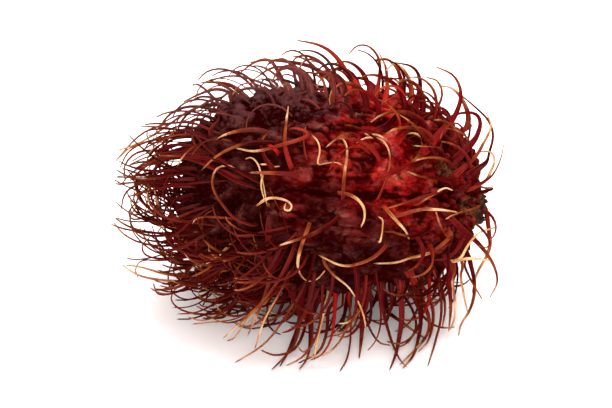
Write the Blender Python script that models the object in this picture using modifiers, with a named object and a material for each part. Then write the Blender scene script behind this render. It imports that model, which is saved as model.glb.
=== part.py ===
"""A rambutan, picked and lying on its side: one rind with its soft spines, and the woody stub of its stalk.

Metres, +Z up. The fruit's long axis runs along X, stalk end at +X, blossom end at -X.
The origin lies on the table, under the middle of the fruit's bounding box.
"""

import math

import bmesh
import bpy
from mathutils import Vector

# Driving dimensions, in metres.
HALF_LENGTH = 0.0262
HALF_WIDTH = 0.0178
BLUNTNESS = 0.07  # how much fuller the stalk half is than the blossom half
AXIS_HEIGHT = 0.0220  # the spines hold the rind clear of the table by 4 mm
SEAM_TILT = math.radians(35)  # the seam's line faces this far above the horizon, towards -Y

SPINE_COUNT = 214
SPINE_LENGTH = 0.0155
SPINE_SWEEP = math.radians(72)  # each spine turns this far towards the blossom end
SWEEP_POWER = 1.2  # over 1 gathers the turn towards the tip
STALK_CURL = 0.6  # the spines at the stalk end turn this share further, into wide hooks
SPINE_RADII = (0.0017, 0.00115, 0.00085, 0.00055, 0.00028)
SPINE_SINK = 0.0011  # how deep a spine starts inside the rind
STEPS_PER_SEGMENT = 8
BARE_SEAM = 0.0017  # half the width of the strip along the seam that has no spines
PRESS_DEPTH = 0.0003  # how far the table flattens a spine that lies on it
SPLAY_TO_BLOSSOM = 0.15  # what a spine that meets the table adds to its lean towards the blossom end
BEND_HEIGHT = 0.0015  # a spine starts to bend level when it is this near the table

STEM_RADIUS = 0.0030
STEM_OUT = 0.0020
STEM_IN = 0.0016
STEM_DROP = 0.0030  # the stalk joins this far below the middle, along the crown's direction
STEM_SEAT = 0.0006  # the stub's middle is this far inside the stalk end
STEM_BARE_RADIUS = 0.0052  # no spine grows within this distance of the stub's middle
STEM_SIDES = 20
STEM_WEAR = 0.0004  # how far the stub's edges are rounded
FIT_GAP = 0.0003
CUTTER_EXCESS = 0.004  # how far a cutter runs past the surface that it opens

EGG_COLUMNS = 34
EGG_ROWS = 22
SHARP_ANGLE = math.radians(50)

GOLDEN_ANGLE = math.pi * (3 - math.sqrt(5))
FRONT = Vector((0, -math.cos(SEAM_TILT), math.sin(SEAM_TILT)))
CROWN = Vector((0, math.sin(SEAM_TILT), math.cos(SEAM_TILT)))
CENTRE = Vector((0, 0, AXIS_HEIGHT))


def clear_scene():
    for obj in list(bpy.data.objects):
        bpy.data.objects.remove(obj, do_unlink=True)


def make_collection(name, parent=None):
    collection = bpy.data.collections.new(name)
    (parent or bpy.context.scene.collection).children.link(collection)
    return collection


def make_material(name, colour, roughness):
    material = bpy.data.materials.new(name)
    material.use_nodes = True
    shader = material.node_tree.nodes["Principled BSDF"]
    shader.inputs["Base Color"].default_value = (*colour, 1)
    shader.inputs["Roughness"].default_value = roughness
    shader.inputs["Metallic"].default_value = 0
    return material


def outward(around):
    """The direction square to the long axis at this angle: 0 is the seam, 90 degrees the crown."""
    return math.cos(around) * FRONT + math.sin(around) * CROWN


def skin_radius(x):
    """The rind's radius at x: an ellipse, a little fuller towards the stalk."""
    share = max(-1.0, min(1.0, x / HALF_LENGTH))
    return HALF_WIDTH * math.sqrt(1 - share * share) * (1 + BLUNTNESS * share)


def skin_point(x, around):
    return CENTRE + Vector((x, 0, 0)) + skin_radius(x) * outward(around)


def skin_slope(x):
    """The angle of the skin's normal from +X, from the radius a little to each side."""
    step = 0.02 * HALF_LENGTH
    rise = skin_radius(x + step) - skin_radius(x - step)
    return math.atan2(2 * step, -rise)


def turned(angle, around):
    """A unit vector in the plane through the long axis, at this angle from +X."""
    return Vector((math.cos(angle), 0, 0)) + math.sin(angle) * outward(around)


def above_table(direction, height):
    """The direction bent level as it comes down to the table, as a soft spine is by the fruit's weight."""
    steepest = -min(1.0, max(0.0, height) / BEND_HEIGHT)
    if direction.z >= steepest:
        return direction
    level = Vector((direction.x - SPLAY_TO_BLOSSOM, direction.y, 0))
    flat = math.sqrt(1 - steepest * steepest)
    return level.normalized() * flat + Vector((0, 0, steepest))


def spine_path(x, around):
    """The middle line of one spine: out along the skin's normal, then round towards the blossom end."""
    start_angle = skin_slope(x)
    sweep = SPINE_SWEEP * (1 + STALK_CURL * max(0.0, x / HALF_LENGTH))
    segments = len(SPINE_RADII) - 1
    steps = segments * STEPS_PER_SEGMENT
    point = skin_point(x, around) - SPINE_SINK * turned(start_angle, around)
    points = [point.copy()]
    for step in range(steps):
        along = (step + 0.5) / steps
        direction = turned(start_angle + sweep * along**SWEEP_POWER, around)
        radius = SPINE_RADII[min(segments, int(along * segments) + 1)]
        direction = above_table(direction, point.z - radius + PRESS_DEPTH)
        point = point + direction * (SPINE_LENGTH / steps)
        if (step + 1) % STEPS_PER_SEGMENT == 0:
            points.append(point.copy())
    return points


def spine_sites():
    """Evenly spread places on the skin, on a golden-angle spiral, without the seam and the stalk's scar."""
    stalk = stem_centre()
    for index in range(SPINE_COUNT):
        share = 1 - 2 * (index + 0.5) / SPINE_COUNT
        x = share * HALF_LENGTH
        around = index * GOLDEN_ANGLE
        off_seam = abs(math.remainder(around, math.pi)) * skin_radius(x)
        near_stalk = x > 0 and (skin_point(x, around) - stalk).length < STEM_BARE_RADIUS
        if off_seam > BARE_SEAM and not near_stalk:
            yield x, around


def stem_centre():
    """Where the stalk's axis meets the stalk end."""
    return CENTRE + Vector((HALF_LENGTH - STEM_SEAT, 0, 0)) - STEM_DROP * CROWN


def new_object(name, bm, collection):
    """An object from a bmesh, smooth but for its sharp edges."""
    mesh = bpy.data.meshes.new(name)
    bm.to_mesh(mesh)
    bm.free()
    mesh.shade_smooth()
    mesh.set_sharp_from_angle(angle=SHARP_ANGLE)
    obj = bpy.data.objects.new(name, mesh)
    collection.objects.link(obj)
    return obj


def make_rind_blank(collection):
    bm = bmesh.new()
    bmesh.ops.create_uvsphere(bm, u_segments=EGG_COLUMNS, v_segments=EGG_ROWS, radius=1)
    for vertex in bm.verts:
        x = vertex.co.z * HALF_LENGTH
        around = math.atan2(vertex.co.y, vertex.co.x)
        vertex.co = skin_point(x, around)
    bm.normal_update()
    bmesh.ops.recalc_face_normals(bm, faces=bm.faces)
    return new_object("rind", bm, collection)


def make_spines(collection):
    """Every spine as a tapered four-sided tube, joined to one closed mesh per spine."""
    curve = bpy.data.curves.new("spines", "CURVE")
    curve.dimensions = "3D"
    curve.bevel_depth = 1.0
    curve.bevel_resolution = 0
    curve.use_fill_caps = True
    for x, around in spine_sites():
        path = spine_path(x, around)
        spline = curve.splines.new("POLY")
        spline.points.add(len(path) - 1)
        for point, place, radius in zip(spline.points, path, SPINE_RADII):
            point.co = (*place, 1)
            point.radius = radius
    holder = bpy.data.objects.new("spine_curves", curve)
    collection.objects.link(holder)
    mesh = bpy.data.meshes.new_from_object(holder.evaluated_get(bpy.context.evaluated_depsgraph_get()))
    bpy.data.objects.remove(holder, do_unlink=True)
    bm = bmesh.new()
    bm.from_mesh(mesh)
    bmesh.ops.remove_doubles(bm, verts=bm.verts, dist=1e-6)
    bmesh.ops.recalc_face_normals(bm, faces=bm.faces)
    bpy.data.meshes.remove(mesh)
    return new_object("spines", bm, collection)


def make_cylinder(collection, name, radius, start, end):
    """A cylinder along X between two values of x, on the stalk's axis."""
    bm = bmesh.new()
    depth = end - start
    bmesh.ops.create_cone(bm, cap_ends=True, segments=STEM_SIDES, radius1=radius, radius2=radius, depth=depth)
    middle = stem_centre() + Vector(((start + end) / 2, 0, 0))
    for vertex in bm.verts:
        vertex.co = middle + Vector((vertex.co.z, vertex.co.x, vertex.co.y))
    return new_object(name, bm, collection)


def make_table_cutter(collection):
    """A block under the table's level, which flattens the spines that lie on it."""
    side = 4 * HALF_LENGTH
    bm = bmesh.new()
    bmesh.ops.create_cube(bm, size=side)
    bmesh.ops.translate(bm, verts=bm.verts, vec=(0, 0, -side / 2))
    return new_object("table_level", bm, collection)


def hide_cutter(obj):
    obj.hide_render = True
    obj.display_type = "WIRE"


def add_boolean(target, other, operation):
    modifier = target.modifiers.new(other.name, "BOOLEAN")
    modifier.operation = operation
    modifier.object = other
    modifier.solver = "EXACT"


def centre_on_box(objects, nodes):
    """Moves everything so that the origin is under the middle of the nodes' box."""
    bpy.context.view_layer.update()
    graph = bpy.context.evaluated_depsgraph_get()
    corners = [obj.matrix_world @ Vector(c) for obj in nodes for c in obj.evaluated_get(graph).bound_box]
    middle_x = (min(c.x for c in corners) + max(c.x for c in corners)) / 2
    middle_y = (min(c.y for c in corners) + max(c.y for c in corners)) / 2
    for obj in objects:
        obj.location = (-middle_x, -middle_y, 0)


def main():
    clear_scene()
    parts = make_collection("rambutan")
    cutters = make_collection("cutters")
    rind = make_rind_blank(parts)
    spines = make_spines(cutters)
    socket_end = STEM_OUT + CUTTER_EXCESS
    socket = make_cylinder(cutters, "stem_socket", STEM_RADIUS + FIT_GAP, -STEM_IN - FIT_GAP, socket_end)
    table_level = make_table_cutter(cutters)
    add_boolean(rind, spines, "UNION")
    add_boolean(rind, socket, "DIFFERENCE")
    add_boolean(rind, table_level, "DIFFERENCE")
    stem = make_cylinder(parts, "stem_stub", STEM_RADIUS, -STEM_IN, STEM_OUT)
    bevel = stem.modifiers.new("worn edge", "BEVEL")
    bevel.width = STEM_WEAR
    bevel.segments = 2
    rind.data.materials.append(make_material("rind", (0.16, 0.012, 0.012), 0.45))
    stem.data.materials.append(make_material("stem", (0.06, 0.04, 0.02), 0.9))
    for cutter in (spines, socket, table_level):
        hide_cutter(cutter)
    centre_on_box([rind, spines, socket, table_level, stem], [rind, stem])


main()
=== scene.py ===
# %% [markdown]
# # A rambutan, picked and lying on its side
# Everything here is worked out in millimetres in the fruit's own directions and then placed in the frame:
# along its length to the stalk, up the crown of the side that faces the viewer, and out towards the
# viewer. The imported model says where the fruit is, so the script starts by loading it.

# %% Load the frame
import math

import bpy
import numpy as np
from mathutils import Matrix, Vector


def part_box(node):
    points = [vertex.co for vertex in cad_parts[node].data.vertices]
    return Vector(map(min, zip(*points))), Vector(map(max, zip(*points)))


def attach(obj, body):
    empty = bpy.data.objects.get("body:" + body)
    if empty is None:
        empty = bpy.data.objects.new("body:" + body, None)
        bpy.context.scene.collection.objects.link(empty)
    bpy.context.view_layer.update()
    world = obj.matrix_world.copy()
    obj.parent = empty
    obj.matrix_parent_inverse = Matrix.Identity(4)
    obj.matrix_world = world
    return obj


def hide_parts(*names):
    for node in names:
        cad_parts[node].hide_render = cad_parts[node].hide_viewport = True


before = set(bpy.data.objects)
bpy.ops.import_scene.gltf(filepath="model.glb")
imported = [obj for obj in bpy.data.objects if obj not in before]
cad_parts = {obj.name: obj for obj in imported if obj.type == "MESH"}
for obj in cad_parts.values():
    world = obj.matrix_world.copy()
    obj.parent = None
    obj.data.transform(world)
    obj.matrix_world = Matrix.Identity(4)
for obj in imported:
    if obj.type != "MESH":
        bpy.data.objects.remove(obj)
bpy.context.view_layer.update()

MM = 0.001

# %% [markdown]
# ## The fruit's own directions
# The seam of the rind faces the viewer, 35 degrees above the horizon, and the stalk end sags a little.
# Building in a frame that is turned with the fruit keeps every later number simple: x runs to the stalk,
# up runs over the crown, out comes straight at the viewer. The few things that are set one by one are given
# level and upright instead, and turned into that frame. The stub of the stalk is the one CAD piece with a
# known place on the fruit, so it gives the centre.

# %% Directions and the centre
VIEW_TILT = math.radians(35)
SAG = math.radians(4.6)
LEVEL = np.array([1.0, 0.0, 0.0])
RISE = np.array([0.0, math.sin(VIEW_TILT), math.cos(VIEW_TILT)])
FRONT = np.array([0.0, -math.cos(VIEW_TILT), math.sin(VIEW_TILT)])
ALONG = math.cos(SAG) * LEVEL - math.sin(SAG) * RISE
CROWN = math.sin(SAG) * LEVEL + math.cos(SAG) * RISE

HALF_LENGTH = 26.2
HALF_WIDTH = 16.8
BLUNTNESS = -0.13
STALK_X = 25.9
STALK_UP = -0.9

stub_low, stub_high = (np.array(corner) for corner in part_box("stem_stub"))
STALK = (stub_low + stub_high) / 2
CENTRE = STALK - (STALK_X * ALONG + STALK_UP * CROWN) * MM
FLOOR_BELOW = CENTRE[2] / MM


def placed(points):
    """Fruit millimetres (x, up, out) to the frame's metres: the centre plus each along its direction."""
    points = np.asarray(points, float)
    return CENTRE + MM * (points @ np.stack([ALONG, CROWN, FRONT]))


def in_line_with_the_fruit(level, rise):
    """Level and rise turned by the sag: x is level cos - rise sin, and up is level sin + rise cos."""
    x = level * math.cos(SAG) - rise * math.sin(SAG)
    up = level * math.sin(SAG) + rise * math.cos(SAG)
    return x, up


print("axis above the floor:", round(FLOOR_BELOW, 2), "mm; stub:", (stub_high - stub_low) / MM)

# %% [markdown]
# ## The plain shape of the rind
# A rambutan is an egg: its radius at x is that of an ellipse, a little fuller towards the blossom end.
# Everything else, from the warts to the roots of the spines, is measured from this plain shape. A
# sculpted mesh could not be asked for its radius or its normal at any place, and a formula can.

# %% Radius and normal of the egg


def egg_radius(x):
    """Half width times the root of 1 - (x / half length) squared, times 1 + bluntness x / half length."""
    share = np.clip(x / HALF_LENGTH, -1, 1)
    return HALF_WIDTH * np.sqrt(1 - share**2) * (1 + BLUNTNESS * share)


def egg_point(x, around):
    """The point at x whose direction from the axis is cos(around) out plus sin(around) up."""
    radius = egg_radius(x)
    return np.stack([x, radius * np.sin(around), radius * np.cos(around)], axis=-1)


def fullness(x):
    """The half width that the ellipse at x belongs to: half width times 1 + bluntness x / half length."""
    return (1 + BLUNTNESS * x / HALF_LENGTH) * HALF_WIDTH


def egg_normal(points):
    """The gradient of (x / a) squared plus (up squared + out squared) / b squared, made one unit long."""
    fuller = fullness(points[..., :1])
    slope = points / np.concatenate([fuller * 0 + HALF_LENGTH**2, fuller**2, fuller**2], axis=-1)
    return slope / np.linalg.norm(slope, axis=-1, keepdims=True)


def egg_depth(points):
    """About how far a point is outside the egg: (scaled length - 1) times length / scaled length."""
    fuller = fullness(points[..., 0])
    across = (points[..., 1] ** 2 + points[..., 2] ** 2) / fuller**2
    scaled = np.sqrt((points[..., 0] / HALF_LENGTH) ** 2 + across)
    return (scaled - 1) * np.linalg.norm(points, axis=-1) / np.maximum(scaled, 1e-6)


print("egg:", 2 * HALF_LENGTH, "by", 2 * HALF_WIDTH, "mm")

# %% [markdown]
# ## Noise that is the same each run
# Natural surfaces need unevenness at several sizes. Blender's own noise could be used through a texture,
# but a few lines of numpy give the same for whole arrays: random values at the corners of cubes, blended
# smoothly.

# %% Noise
MIXERS = (374761393, 668265263, 1103515245)
SEED_MIXER = 974711
LAST_MIXER = 1274126177


def corner_values(cells, seed):
    """A repeatable number from -1 to 1 for each whole-numbered cell, by mixing its three indices."""
    mixed = sum(cells[..., axis] * MIXERS[axis] for axis in range(3)) + seed * SEED_MIXER
    mixed = ((mixed ^ (mixed >> 13)) * LAST_MIXER) & 0xFFFFFFFF
    mixed = mixed ^ (mixed >> 16)
    return (mixed & 0xFFFF) / 32767.5 - 1


def noise(points, size, seed):
    """Value noise from -1 to 1: corner values of cubes of this size, blended like a smooth step."""
    scaled = np.asarray(points) / size
    cell = np.floor(scaled).astype(np.int64)
    blend = scaled - cell
    blend = blend * blend * (3 - 2 * blend)
    total = np.zeros(scaled.shape[:-1])
    for corner in np.ndindex(2, 2, 2):
        weight = np.prod(np.where(np.array(corner, bool), blend, 1 - blend), axis=-1)
        total += weight * corner_values(cell + np.array(corner), seed)
    return total


def layered(points, size, seed, octaves=3):
    """Octaves of noise, each half the size and half the strength of the one before."""
    return sum(noise(points, size / 2**k, seed + k) / 2**k for k in range(octaves))


def smooth_step(low, high, value):
    """0 below low, 1 above high, and 3 t squared - 2 t cubed between."""
    t = np.clip((value - low) / (high - low), 0, 1)
    return t * t * (3 - 2 * t)


def unit(vectors):
    """The same directions, each divided by its length."""
    return vectors / np.maximum(np.linalg.norm(vectors, axis=-1, keepdims=True), 1e-9)


print("noise at the centre:", round(float(noise(np.zeros(3), 1.0, 1)), 3))

# %% [markdown]
# ## The spines that catch the eye
# The spines that are seen best are set one by one, like pinning single hairs: a few points each, in
# millimetres from the middle of the fruit, level, upright, and clear of the skin. Cutting the corners of
# the line a few times turns it into a smooth curve. Each has its own half width, tone and dryness: tone
# runs from dark maroon at 0 over dusty rose and rust to scarlet at 1, and a dryness of 1 or more makes it
# pale as straw from its root on. Past the outline of the fruit there is no skin to be clear of, and the
# third number is simply how far out the point is.

# %% Chosen spines
CHOSEN = [
    # half width, tone, dryness, points from root to tip: over the crown, from the blossom half to the stalk
    (0.80, 0.50, 0.10, [(-17.0, 14.5, 0), (-18.2, 17.6, 1), (-20.6, 18.7, 2), (-23.2, 18.2, 2),
        (-27.0, 16.4, 2)]),
    (0.75, 0.45, 0.20, [(-15.2, 15.2, 0), (-17.4, 18.8, 1), (-20.4, 19.9, 1), (-24.0, 19.8, 1)]),
    (0.85, 0.50, 0.10, [(-8.6, 16.0, 0), (-10.6, 18.7, 1), (-13.6, 20.0, 1), (-17.4, 21.1, 1),
        (-20.2, 20.9, 1), (-22.6, 20, 1)]),
    (1.00, 0.48, 0.10, [(-7.6, 16.0, 0), (-8.9, 19.2, 1), (-10.0, 21.6, 1), (-11.6, 24.2, 1),
        (-14.4, 23.7, 1), (-17.0, 21.6, 1)]),
    (1.15, 0.48, 0.05, [(-4.2, 16.6, 0), (-5.2, 20.0, 0), (-7.4, 22.4, 0), (-11.0, 23.0, 0),
        (-14.4, 20.6, 0)]),
    (0.60, 0.72, 0.35, [(-1.4, 16.4, 1), (-1.8, 20.2, 2), (-4.2, 21.8, 2), (-6.4, 21.2, 2)]),
    (0.85, 0.30, 0.10, [(0.3, 17.2, 0), (-1.0, 20.8, 0), (-3.8, 22.8, 0), (-8.0, 23.7, 0), (-12.4, 24.0, 0),
        (-15.0, 23.6, 0)]),
    (0.80, 0.35, 0.15, [(1.6, 16.8, 0), (0.2, 20.6, 0), (-2.4, 23.8, 0), (-5.2, 25.0, 0), (-7.2, 24.4, 0),
        (-7.7, 23.0, 0)]),
    (0.95, 0.85, 0.05, [(4.0, 17.0, 0), (3.0, 20.4, 0), (0.6, 24.6, 0), (-2.4, 26.8, 0), (-6.4, 27.5, 0)]),
    (0.90, 0.92, 0.00, [(2.4, 17.0, 0), (1.4, 19.6, 0), (-0.8, 21.6, 0), (-4.0, 22.4, 0)]),
    (1.05, 0.40, 0.05, [(5.9, 16.0, 0), (6.4, 19.0, 0), (5.2, 22.0, 0), (2.6, 23.9, 0), (0.2, 23.4, 0)]),
    (0.85, 0.60, 0.10, [(7.0, 16.2, 0), (8.2, 20.0, 0), (8.5, 24.0, 0), (6.6, 26.6, 0), (4.2, 26.8, 0),
        (2.8, 25.2, 0)]),
    (0.70, 0.80, 0.35, [(8.6, 15.2, 0), (9.6, 19.0, 0), (9.6, 22.6, 0), (8.2, 25.2, 0)]),
    (0.85, 0.55, 0.15, [(10.0, 14.4, 0), (12.2, 18.4, 0), (12.0, 22.0, 0), (9.8, 24.4, 0), (7.6, 24.0, 0)]),
    (0.70, 0.78, 0.55, [(11.8, 13.4, 1), (14.4, 17.0, 1), (13.4, 21.4, 1), (11.0, 23.6, 1), (9.4, 22.0, 1)]),
    (1.20, 0.20, 0.05, [(13.4, 13.4, 0), (15.2, 16.8, 0), (15.9, 20.2, 0), (14.6, 22.9, 0), (11.2, 23.5, 0)]),
    (0.95, 0.12, 0.10, [(10.0, 7.6, 0.2), (13.8, 11.2, 1.6), (17.6, 13.6, 3), (19.8, 17.2, 2),
        (19.0, 20.2, 1), (17.0, 20.7, 1)]),
    (1.10, 0.45, 0.05, [(14.6, 5.8, 0.3), (18.4, 9.4, 2.4), (21.8, 13.4, 3), (23.2, 17.6, 2), (22.0, 21.2, 1),
        (18.6, 22.6, 1)]),
    (1.00, 0.62, 0.45, [(19.4, 8.0, 0), (23.2, 10.2, 2), (24.6, 13.2, 2), (23.2, 16.8, 2), (21.4, 19.0, 1),
        (19.2, 19.2, 1)]),
    (0.95, 0.42, 0.05, [(20.6, 5.0, 0), (24.8, 8.6, 3), (26.6, 12.0, 3), (25.6, 14.4, 3), (22.0, 14.2, 2),
        (18.6, 12.4, 2)]),
    (0.95, 0.10, 0.05, [(22.6, 2.4, 0), (26.6, 4.6, 1), (29.0, 9.0, 1), (28.6, 12.6, 0), (26.0, 15.2, 0),
        (22.6, 18.0, 0)]),
    (0.90, 0.66, 0.40, [(20.4, 2.6, 0.3), (24.4, 5.4, 3), (27.0, 8.8, 3), (28.6, 12.0, 2), (27.6, 14.2, 1)]),
    (0.45, 0.70, 0.60, [(23.0, 0.2, 0), (26.4, 1.8, 2), (29.2, 4.8, 2), (28.6, 7.4, 2), (26.4, 7.2, 2)]),
    # over the side that faces the viewer, above the seam
    (0.45, 0.75, 1.15, [(-11.6, -2.4, 0.4), (-12.6, 2.0, 2), (-13.2, 4.6, 3), (-14.4, 5.9, 3),
        (-15.4, 5.6, 3)]),
    (0.36, 0.70, 1.20, [(-13.0, 4.6, 2.6), (-11.4, 4.6, 2.2), (-10.6, 4.1, 1.6), (-9.6, 4.2, 1.0)]),
    (0.70, 0.62, 0.40, [(-13.6, -5.4, 0), (-18.4, -3.6, 2), (-21.6, 0.4, 4), (-21.0, 4.0, 4), (-18.4, 4.6, 4),
        (-17.0, 3.6, 3)]),
    (0.38, 0.75, 1.25, [(0.8, 4.6, 0.3), (-1.0, 5.0, 0.8), (-3.4, 4.3, 1.4), (-2.6, 6.8, 2.4),
        (-3.0, 8.6, 2.6), (-4.0, 9.6, 2.4)]),
    (0.50, 0.40, 0.60, [(1.2, -1.4, 0), (1.4, 3.0, 1.6), (2.0, 6.0, 2.6), (1.9, 8.0, 3), (1.0, 9.3, 3)]),
    (0.50, 0.60, 0.62, [(7.2, -1.4, 0), (9.0, 2.6, 2), (9.5, 6.4, 3.4), (8.2, 9.0, 4), (5.4, 9.4, 4),
        (3.8, 8.4, 3.4)]),
    (0.36, 0.70, 1.20, [(8.4, 9.2, 3.9), (7.0, 9.8, 4), (5.8, 9.7, 4), (5.0, 9.9, 4)]),
    (0.70, 0.30, 0.48, [(7.4, 2.4, 0), (11.0, 3.4, 1.4), (14.6, 5.8, 2.6), (15.6, 9.0, 3), (14.0, 10.4, 3.2),
        (12.2, 10.0, 3)]),
    (0.80, 0.06, 0.05, [(6.6, 9.0, 0), (9.0, 10.6, 1), (11.6, 13.0, 2), (12.0, 14.8, 2)]),
    (0.75, 0.05, 0.05, [(11.6, 3.6, 0.2), (14.8, 4.6, 1.6), (17.4, 7.2, 3), (19.0, 10.4, 4)]),
    (0.55, 0.72, 0.42, [(-7.2, 3.6, 0), (-8.8, 7.4, 2.4), (-8.6, 11.4, 3), (-8.2, 14.8, 3)]),
    (0.60, 0.78, 0.45, [(-7.6, 10.0, 0), (-3.6, 9.6, 2), (-8.4, 8.2, 3.4), (-13.6, 6.6, 4), (-17.0, 7.4, 4)]),
    (0.50, 1.00, 0.00, [(-9.6, 6.2, 0), (-11.4, 7.9, 2), (-13.6, 8.5, 2.4), (-15.6, 8.3, 2.4)]),
    (0.60, 0.22, 0.10, [(-12.2, 1.4, 0), (-16.4, 3.2, 2.2), (-20.4, 6.2, 3.6), (-23.6, 9.6, 4)]),
    (0.55, 0.26, 0.10, [(-13.6, 0.8, 0), (-17.6, 2.0, 2.2), (-21.6, 4.6, 4), (-24.4, 8.8, 5),
        (-24.2, 12.2, 5)]),
    (0.55, 0.68, 0.05, [(-15.6, 2.0, 0), (-19.4, 3.4, 2), (-23.8, 5.2, 3), (-28.2, 6.0, 3)]),
    (0.65, 0.36, 0.10, [(-10.4, 3.6, 0), (-12.4, 6.0, 2), (-13.0, 8.6, 3), (-11.4, 10.4, 3)]),
    (0.55, 0.50, 0.10, [(-19.6, 8.4, 0), (-19.2, 11.4, 3), (-20.4, 13.4, 3)]),
    (0.60, 0.52, 0.20, [(-5.0, 5.4, 0), (-5.6, 8.6, 2), (-5.2, 11.0, 2)]),
    # the pale knot on the seam, and the spines below the seam
    (0.50, 0.75, 1.30, [(-13.6, -2.5, 1.2), (-11.6, -1.0, 2), (-8.6, -1.4, 3), (-7.4, -2.4, 3),
        (-7.8, -3.4, 3), (-8.9, -3.2, 2.8), (-8.6, -2.2, 2.6)]),
    (0.34, 0.70, 1.10, [(-12.4, 3.2, 3), (-12.9, 1.0, 2.4), (-12.4, -0.8, 2), (-12.2, -1.6, 1.8)]),
    (0.50, 0.62, 0.75, [(0.4, -0.3, 0), (2.8, -0.6, 1.6), (4.8, -2.4, 3), (5.0, -4.6, 3.2), (4.4, -6.0, 3)]),
    (0.40, 0.70, 1.00, [(7.4, -8.2, 0.4), (8.0, -6.2, 2), (8.2, -4.9, 2.4), (7.4, -4.4, 2.4)]),
    (0.48, 0.60, 0.75, [(8.0, -2.4, 0), (10.4, -5.0, 2), (12.2, -6.8, 2), (12.8, -8.2, 1.8)]),
    (0.45, 0.55, 0.70, [(9.6, -4.0, 0), (14.6, -3.0, 2), (18.6, -3.2, 3), (21.2, -3.6, 3)]),
    (0.40, 0.60, 0.80, [(13.6, -2.2, 0), (16.4, -1.0, 2), (19.0, 0.8, 3), (20.4, 0.2, 3)]),
    (0.62, 0.66, 0.92, [(-4.4, -5.4, 0), (-6.0, -9.4, 2.4), (-6.8, -13.2, 3.4), (-5.4, -15.8, 3.6),
        (-3.2, -15.4, 3.2), (-1.8, -13.8, 2.8)]),
    (0.60, 0.66, 0.88, [(-2.0, -11.6, 0.3), (0.4, -14.4, 3), (3.4, -18.0, 11), (5.0, -21.4, 11),
        (5.4, -24.0, 10)]),
    (0.75, 0.62, 0.25, [(-10.9, -4.4, 0), (-11.4, -9.6, 3.6), (-11.2, -15.0, 5), (-13.2, -20.6, 10),
        (-15.2, -25.0, 9)]),
    (0.65, 0.64, 0.40, [(-6.6, -8.6, 0), (-8.6, -13.4, 3.6), (-11.4, -18.0, 11), (-15.4, -22.0, 11),
        (-19.4, -25.6, 10)]),
    (0.55, 0.60, 0.75, [(-7.4, -13.2, 0.4), (-9.6, -17.6, 10), (-12.6, -22.6, 11), (-14.0, -27.4, 10)]),
    (0.45, 0.65, 1.00, [(-17.4, -8.4, 0.3), (-20.0, -10.4, 2), (-23.6, -12.4, 3), (-25.6, -13.6, 3)]),
    (0.42, 0.65, 1.00, [(-21.6, -6.6, 1), (-26.0, -6.4, 4), (-31.4, -6.2, 5)]),
    (0.60, 0.68, 1.05, [(-1.0, -17.0, 0), (-1.8, -20.6, 8), (-3.0, -25.6, 9), (-3.6, -29.4, 9)]),
    (0.50, 0.60, 0.62, [(8.6, -8.4, 0), (5.6, -12.0, 2.4), (1.6, -13.4, 3), (-2.6, -11.2, 2.6)]),
    (0.55, 0.62, 0.80, [(18.8, -6.2, 0), (15.4, -10.2, 2.4), (11.6, -12.4, 2.6), (7.0, -12.6, 2)]),
    # the straps of the belly that hang to the floor
    (0.95, 0.30, 0.15, [(-5.4, -16.6, 0), (-5.8, -20.4, 1), (-6.4, -24.6, 1), (-8.2, -28.6, 1),
        (-9.6, -30.8, 1)]),
    (0.70, 0.40, 0.15, [(-4.4, -16.4, 1), (-4.6, -21.0, 2), (-4.2, -25.4, 2), (-4.6, -29.6, 2),
        (-6.2, -31.4, 1)]),
    (0.65, 0.80, 0.10, [(2.4, -16.8, 0), (2.8, -20.8, 0), (3.2, -25.4, 0), (2.4, -29.8, 0), (1.0, -31.6, 0)]),
    (0.90, 0.42, 0.15, [(4.6, -16.2, 0), (5.2, -21.6, 1), (5.0, -26.4, 1), (4.4, -29.6, 1)]),
    (0.75, 0.32, 0.20, [(8.4, -15.8, 0), (8.6, -20.6, 1), (10.0, -26.0, 1), (11.4, -29.8, 1),
        (12.6, -31.0, 1)]),
    (0.95, 0.60, 0.10, [(11.2, -14.0, 0), (12.0, -18.4, 1), (12.4, -23.2, 1), (11.4, -28.4, 1),
        (9.8, -31.4, 1)]),
    (0.80, 0.30, 0.15, [(13.6, -13.6, 0), (15.0, -18.6, 1), (16.0, -23.6, 1), (14.6, -29.0, 1),
        (12.2, -31.2, 0)]),
    (1.00, 0.40, 0.20, [(16.4, -11.4, 0), (18.4, -15.4, 2), (19.6, -20.2, 2), (19.0, -25.6, 1),
        (16.6, -30.8, 0)]),
    (0.85, 0.35, 0.15, [(18.6, -10.2, 0), (20.4, -15.0, 2), (21.2, -20.0, 2), (20.8, -25.0, 1)]),
    # hooks of the belly that lie on the floor
    (0.55, 0.25, 0.10, [(-4.0, -15.4, 0), (-4.6, -20.0, 2), (-5.3, -25.0, 3), (-7.0, -28.5, 5),
        (-10.6, -29.4, 6), (-12.8, -28.4, 6)]),
    (0.60, 0.42, 0.25, [(-6.8, -15.6, 0), (-6.4, -20.0, 1), (-6.2, -24.4, 2), (-7.4, -28.2, 4),
        (-11.0, -31.4, 7)]),
    (0.55, 0.48, 0.20, [(-2.8, -15.8, 0), (-4.2, -20.0, 2), (-4.0, -24.4, 3), (-3.9, -27.7, 4),
        (-5.6, -29.0, 5), (-6.6, -27.6, 5)]),
    (0.50, 0.35, 0.15, [(0.6, -16.0, 0), (-1.2, -20.6, 2), (-1.2, -25.2, 3), (-2.6, -28.9, 5),
        (-6.2, -30.4, 6)]),
    (0.42, 0.55, 0.45, [(-4.8, -14.6, 0), (-7.6, -20.6, 3), (-10.4, -25.0, 4), (-13.2, -27.9, 5),
        (-17.4, -30.2, 7)]),
    (0.50, 0.20, 0.10, [(3.4, -15.6, 0), (4.8, -19.6, 1), (6.3, -24.8, 2), (8.0, -27.3, 3), (9.8, -27.6, 3)]),
    # round the stalk
    (0.80, 0.30, 0.25, [(18.4, -3.4, 0), (21.4, -6.0, 1.6), (25.4, -8.6, 2.6), (28.6, -12.4, 2),
        (29.9, -16.2, 1), (28.4, -18.8, 1)]),
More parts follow.
